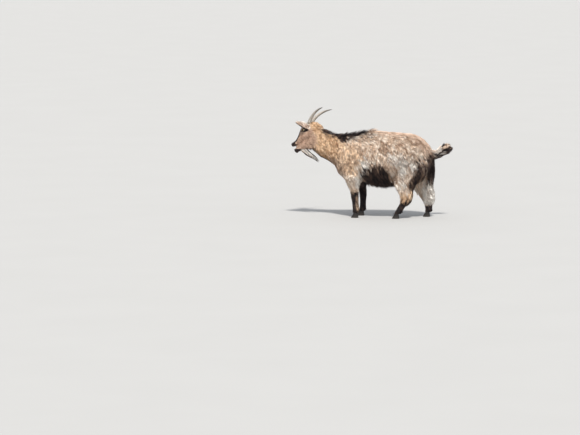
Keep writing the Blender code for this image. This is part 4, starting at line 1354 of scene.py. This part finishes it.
# Locks: every root belongs to the nearest of a scatter of leaders.
lock_size = np.clip(root_length * 0.20, 0.004, 0.0125)
leads = chance.random(tuft_count) < np.clip((tuft_spacing[root_point] / lock_size) ** 2, 0.01, 0.5)
leaders = np.flatnonzero(leads)
own_leader = leaders[nearest_of(root_place[leaders])(root_place)]

lock_tone = chance.random(tuft_count)[own_leader]
# Longer streaks of tone run with the lie, down and back, several locks to a streak.
with_lie, across_lie = root_place @ (0, 0.55, -0.83), root_place @ (0, 0.83, 0.55)
drawn_short = np.stack([root_place[:, 0] * 0.7, across_lie, with_lie * 0.17], axis=1)
streak_leads = np.flatnonzero(chance.random(tuft_count) < 0.025)
own_streak = nearest_of(drawn_short[streak_leads])(drawn_short)
streak_tone = chance.random(len(streak_leads))[own_streak]
lock_tone = np.clip(0.5 + 1.65 * (0.42 * lock_tone + 0.58 * streak_tone - 0.5), 0, 1)
lock_length = chance.uniform(0.78, 1.22, tuft_count)[own_leader]
lock_turn = chance.normal(0, 0.17, tuft_count)[own_leader]
lock_height = chance.uniform(0.15, 1.0, tuft_count)[own_leader]
lock_phase = chance.uniform(0, 2 * math.pi, tuft_count)[own_leader]
tuft_tone = chance.random(tuft_count)
tuft_length = root_length * lock_length * chance.uniform(0.85, 1.15, tuft_count)
own_height = 0.50 + 0.58 * (0.5 * lock_height + 0.5 * chance.random(tuft_count))
tuft_height = coat_room[root_point] * own_height
tuft_height += 0.012 * thigh_front[root_point] + 0.011 * nape[root_point]
tuft_turn = lock_turn + chance.normal(0, 0.12, tuft_count)

STEPS = 3
ROOT_DEPTH = 0.0008
paths = np.empty((tuft_count, STEPS + 1, 3))
paths[:, 0] = root_place - hide_outward[root_point] * ROOT_DEPTH
at, point = root_place.copy(), root_point
outward_there = hide_outward[root_point]
for step in range(1, STEPS + 1):
    share = step / STEPS
    way_there = lie[point]
    aside_there = np.cross(outward_there, way_there)
    way_there = way_there + aside_there * np.tan(np.clip(tuft_turn, -0.8, 0.8))[:, None]
    loose = (hanging[root_point] * share)[:, None]
    way_there = unit(unit(way_there) * (1 - loose) + DOWN * loose)
    at = at + way_there * (tuft_length / STEPS)[:, None]
    point = nearest_on_hide(at)
    outward_there = unit(hide_outward[point] + hide_outward[root_point] * 0.3)
    height = np.sum((at - hide_points[point]) * outward_there, axis=1)
    wanted = tuft_height * (1 - (1 - share) ** 1.6) + flick[root_point] * tuft_length * share**2
    at = at + outward_there * ((wanted - height) * (1 - loose[:, 0] * (height > wanted)))[:, None]
    wave = 0.045 * tuft_length * share * np.sin(lock_phase + share * 5.0)
    paths[:, step] = at + aside_there * wave[:, None]
# Tips draw together towards the leader's.
drawn = chance.uniform(0.15, 0.62, tuft_count)[own_leader]
for step in range(1, STEPS + 1):
    share = step / STEPS
    paths[:, step] += (paths[own_leader, step] - paths[:, step]) * (drawn * share**1.3)[:, None]

# The hide's own unwrap gives every tuft the place of its root.
hide.select_set(True)
bpy.context.view_layer.objects.active = hide
bpy.ops.object.mode_set(mode="EDIT")
bpy.ops.mesh.select_all(action="SELECT")
bpy.ops.uv.smart_project(angle_limit=math.radians(66), island_margin=0.001)
bpy.ops.object.mode_set(mode="OBJECT")
unwrap = hide.data.uv_layers.active.data
hide_corner_map = read_rows(unwrap, 2, "uv", np.float32).reshape(-1, 4, 2)
root_map = at_root(hide_corner_map[root_face])

SIDES = 3
TUFT_PROFILE = {2: (0.85, 0.9), 3: (0.75, 1.0, 0.68), 6: (0.7, 1.0, 1.0, 0.9, 0.75, 0.5)}
BAKE_PATCH = 0.003


def lay_tufts(name, path, half, up_there, look, material, replaced=()):
    """One piece of joined tufts, three-sided and pointed. look holds each tuft's root place, marks,
    own tone, lock tone and place on the hide's unwrap."""
    steps = path.shape[1] - 1
    ways = unit(np.diff(path, axis=1))
    rings = []
    for step in range(steps):
        way_here = ways[:, max(step - 1, 0)] + ways[:, step]
        side_way = unit(np.cross(way_here, up_there))
        rise_way = unit(np.cross(side_way, way_here))
        size = (half * TUFT_PROFILE[steps][step])[:, None]
        rings.append(np.stack([
            path[:, step] - side_way * size,
            path[:, step] + side_way * size,
            path[:, step] + rise_way * size * 0.75,
        ], axis=1))
    count, per = len(path), steps * SIDES + 1
    points = np.concatenate([np.concatenate(rings, axis=1), path[:, -1:]], axis=1)
    faces = []
    for step in range(steps - 1):
        for side in range(SIDES):
            a, b = step * SIDES + side, step * SIDES + (side + 1) % SIDES
            faces += [(a, b, b + SIDES), (a, b + SIDES, a + SIDES)]
    last = (steps - 1) * SIDES
    faces += [(last + side, last + (side + 1) % SIDES, per - 1) for side in range(SIDES)]
    faces = np.array(faces)
    all_faces = (faces[None] + (np.arange(count) * per)[:, None, None]).reshape(-1, 3)
    mesh = face_mesh(name, points.reshape(-1, 3), all_faces)
    along = np.append(np.repeat(np.arange(steps) / steps, SIDES), 1.0)
    root, mark, tone, lock, place_on_hide = look
    remember(mesh, "root", np.repeat(root, per, axis=0))
    remember(mesh, "marks", np.repeat(mark, per, axis=0))
    strand = [np.repeat(tone, per), np.repeat(lock, per), np.tile(along, count)]
    remember(mesh, "strand", np.stack(strand, axis=1))
    around = np.append(np.tile(np.arange(SIDES) / SIDES, steps), 0.5)
    flat = np.stack([around, along], axis=1)[faces].reshape(-1, 2)
    shifted = flat[None] + np.stack([tone * 7, lock * 5], axis=1)[:, None]
    baked = place_on_hide[:, None, :] + (flat - 0.5)[None] * BAKE_PATCH
    for map_name, places in (("along hair", shifted), ("OFBake", baked)):
        layer = mesh.uv_layers.new(name=map_name)
        layer.data.foreach_set("uv", places.astype(np.float32).reshape(-1))
    mesh.uv_layers["along hair"].active_render = True
    mesh.uv_layers.active = mesh.uv_layers["along hair"]
    piece = put(name, mesh, material)
    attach(piece, "root")
    if replaced:
        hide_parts(*replaced)
    return piece


# A lock takes the marks of the hide at its root, or of what its middle or its end lies over.
reads_at = chance.choice(4, tuft_count, p=(0.22, 0.26, 0.34, 0.18))[own_leader]
tuft_marks = marks[nearest_on_hide(paths[np.arange(tuft_count), reads_at])]

at_part = np.argmax(belongs, axis=1)[root_point]


def rooted_in(*names):
    return np.isin(at_part, [PARTS.index(name) for name in names])


# Each coat's first number is the painted shade at its hair roots, the shadow down among the hair.
coat_fur = coat_material("coat", 0.52, 0.75)
short_fur = coat_material("short coat", 0.60, 0.78, 0.55)
left = root_place[:, 0] > 0
fore = root_place[:, 1] < 0.10
on_trunk = rooted_in("trunk")
on_face = rooted_in("head", "jaw", "ear")
on_shins = rooted_in("upper_foreleg", "lower_foreleg", "lower_hind_leg")
long_haired = root_length > 0.0175
COAT = (
    ("coat_face", on_face & ~long_haired, short_fur, "face_coat"),
    ("coat_cheeks", on_face & long_haired, coat_fur, "face_coat"),
    ("coat_neck", rooted_in("neck"), coat_fur, "neck_coat"),
    ("coat_shoulder_left", on_trunk & left & fore, coat_fur, "body_coat"),
    ("coat_flank_left", on_trunk & left & ~fore, coat_fur, "body_coat"),
    ("coat_shoulder_right", on_trunk & ~left & fore, coat_fur, "body_coat"),
    ("coat_flank_right", on_trunk & ~left & ~fore, coat_fur, "body_coat"),
    ("coat_thighs", rooted_in("upper_hind_leg"), coat_fur, "body_coat"),
    ("coat_shins", on_shins, short_fur, "leg_coat"),
    ("coat_tail", rooted_in("tail"), coat_fur, "tail_coat"),
)
TUFT_WIDTH = 0.021
THINNEST, THINNEST_SHORT, THICKEST = 0.00048, 0.00042, 0.00120
for name, chosen, fur, slot in COAT:
    chosen = np.flatnonzero(chosen)
    # Short hair needs one step fewer, and is finer.
    kept_steps, thinnest = [0, 1, 2, 3], THINNEST
    if fur is short_fur:
        kept_steps, thinnest = [0, 2, 3], THINNEST_SHORT
    half = np.clip(tuft_length[chosen] * TUFT_WIDTH, thinnest, THICKEST)
    half *= 0.75 + 0.5 * tuft_tone[chosen]
    look = [kept[chosen] for kept in (root_place, tuft_marks, tuft_tone, lock_tone, root_map)]
    path = paths[chosen][:, kept_steps]
    lay_tufts(name, path, half, hide_outward[root_point[chosen]], look, fur)

# ---------------------------------------------------------------- the beard
# The beard is long, thin, wavy hair from the chin and the edges of the jaw, grey and cream with
# black strands through it, that hangs back to a wispy point.
# Each row, from the root down, is the band's front and back edge (ahead of the poll, and up)
# and its half width, in head units, with the mouth closed.
BEARD = (
    (210, -97, 167, -117, 11), (207, -128, 163, -146, 13), (202, -161.5, 156, -176, 12),
    (189, -188, 152, -203, 10.5), (178, -212, 149, -232, 8.5), (170.5, -237, 147, -252.5, 6),
    (162, -265, 151, -269, 3),
)
BEARD_TUFTS, BEARD_STEPS, BEARD_LOCKS = 1700, 6, 40
BEARD_ROOT_UP = 7.0
BEARD_THICKNESS = 0.00046

beard_chance = np.random.default_rng(23)
lock_of = beard_chance.integers(0, BEARD_LOCKS, BEARD_TUFTS)
lock_back, lock_aside, lock_hue = beard_chance.random((3, BEARD_LOCKS))
lock_end = beard_chance.uniform(0.50, 1.0, BEARD_LOCKS)
root_back = beard_chance.random(BEARD_TUFTS)
root_aside = beard_chance.uniform(-1, 1, BEARD_TUFTS)
reach = np.clip(lock_end[lock_of] * beard_chance.uniform(0.75, 1.05, BEARD_TUFTS), 0.25, 1.0)
beard_wave = beard_chance.uniform(0, 2 * math.pi, BEARD_LOCKS)[lock_of]
beard_rows = np.array(BEARD, float)
beard_paths = np.empty((BEARD_TUFTS, BEARD_STEPS + 1, 3))
for step in range(BEARD_STEPS + 1):
    share = step / BEARD_STEPS
    down_rows = reach * share * (len(BEARD) - 1)
    front, front_up, rear, rear_up, half_width = (
        np.interp(down_rows, range(len(BEARD)), beard_rows[:, i]) for i in range(5)
    )
    gather = 0.85 * share**0.7
    back_share = root_back + (lock_back[lock_of] * 0.9 + 0.05 - root_back) * gather
    aside_share = root_aside + ((lock_aside[lock_of] * 2 - 1) * 0.9 - root_aside) * gather
    wave = 3.0 * share * np.sin(beard_wave + share * 6.0)
    s = front + (rear - front) * back_share + wave
    t = front_up + (rear_up - front_up) * back_share + (BEARD_ROOT_UP if step == 0 else 0.0)
    ahead, above = swung(s, t)
    local = np.stack([half_width * aside_share + wave * 0.5, -ahead, above], axis=1)
    beard_paths[:, step] = np.array(poll) + local @ np.array(head_turn).T * HEAD_UNIT
beard_tone = beard_chance.random(BEARD_TUFTS)
hue = np.clip(lock_hue[lock_of] + beard_chance.normal(0, 0.12, BEARD_TUFTS), 0, 1)
stripe_at = lock_back[lock_of] + beard_chance.normal(0, 0.06, BEARD_TUFTS)
black = (stripe_at < 0.17) | (stripe_at > 0.68) | (hue < 0.10)
cream = ~black & (stripe_at < 0.42) & (hue < 0.55)
beard_marks = np.stack([black, ~black & ~cream, cream, np.zeros(BEARD_TUFTS)], axis=1).astype(float)
beard_shade = np.where(cream, 0.9, 0.05 + 0.75 * hue)
hide_place = np.zeros((hide_count, 2))
hide_place[hide_faces.reshape(-1)] = hide_corner_map.reshape(-1, 2)
beard_roots = beard_paths[:, 0]
beard_map = hide_place[nearest_on_hide(beard_roots)]
lay_tufts(
    "beard_hair", beard_paths, BEARD_THICKNESS * (0.7 + 0.6 * beard_tone),
    np.tile(along_head(0, 1, 0), (BEARD_TUFTS, 1)),
    (beard_roots, beard_marks, beard_tone, beard_shade, beard_map),
    coat_material("beard", 0.8, 0.35, 0.5), ["beard"],
)

# ---------------------------------------------------------------- floor, lights and camera
FLOOR_REACH = 400
floor_corners = [(a * FLOOR_REACH, b * FLOOR_REACH, 0) for a, b in ((-1, -1), (1, -1), (1, 1), (-1, 1))]
floor_mesh = bpy.data.meshes.new("floor")
floor_mesh.from_pydata(floor_corners, [], [(0, 1, 2, 3)])


def floor_finish(tree, shader):
    cloud = noise(tree, on_object(tree), 1.5)
    colour = graded(tree, cloud, (0.3, 0.352, 0.349, 0.343), (0.7, 0.358, 0.355, 0.349))
    fill(tree, shader, {"Base Color": colour, "Roughness": 0.9, "Specular IOR Level": 0.1})


floor = put("floor", floor_mesh, finished("floor", floor_finish), smooth=False)
bpy.context.scene.view_settings.view_transform = "Standard"
# The sky lights the goat; what the camera sees past the floor's edge is the floor's own tone.
SKY, FAR_FLOOR = (0.86, 0.90, 0.96), (0.830, 0.826, 0.805)
world = bpy.data.worlds.new("studio")
bpy.context.scene.world = world
world.use_nodes = True
sky = world.node_tree.nodes["Background"]
fill(world.node_tree, sky, {"Color": SKY, "Strength": 0.98})
backdrop = add(world.node_tree, "ShaderNodeBackground", {"Color": FAR_FLOOR})
seen_straight = add(world.node_tree, "ShaderNodeLightPath").outputs["Is Camera Ray"]
either = add(world.node_tree, "ShaderNodeMixShader", {0: seen_straight, 1: sky, 2: backdrop})
fill(world.node_tree, world.node_tree.nodes["World Output"], {0: either})
sun = bpy.data.objects.new("sun", bpy.data.lights.new("sun", "SUN"))
sun.data.energy = 5.2
sun.data.color = (1.0, 0.965, 0.91)
sun.data.angle = 0.12
sun.rotation_mode = "QUATERNION"
sun.rotation_quaternion = Vector((0.66, 0.20, 0.98)).to_track_quat("Z", "Y")
bpy.context.scene.collection.objects.link(sun)
# A long lens, from the goat's left and a little ahead, just above level.
AZIMUTH, RISE = math.radians(101), math.radians(6)
LOOKS_AT, CAMERA_AWAY = Vector((0.1197, -0.6156, -0.006)), 25.13
camera = bpy.data.objects.new("camera", bpy.data.cameras.new("camera"))
camera.data.lens = 200
camera.data.sensor_width = 36
ahead_of, to_left = -math.cos(AZIMUTH) * math.cos(RISE), math.sin(AZIMUTH) * math.cos(RISE)
back = Vector((to_left, ahead_of, math.sin(RISE)))
camera.location = LOOKS_AT + back * CAMERA_AWAY
camera.rotation_mode = "QUATERNION"
camera.rotation_quaternion = (-back).to_track_quat("-Z", "Y")
camera.data.clip_end = 1000
bpy.context.scene.collection.objects.link(camera)
bpy.context.scene.camera = camera
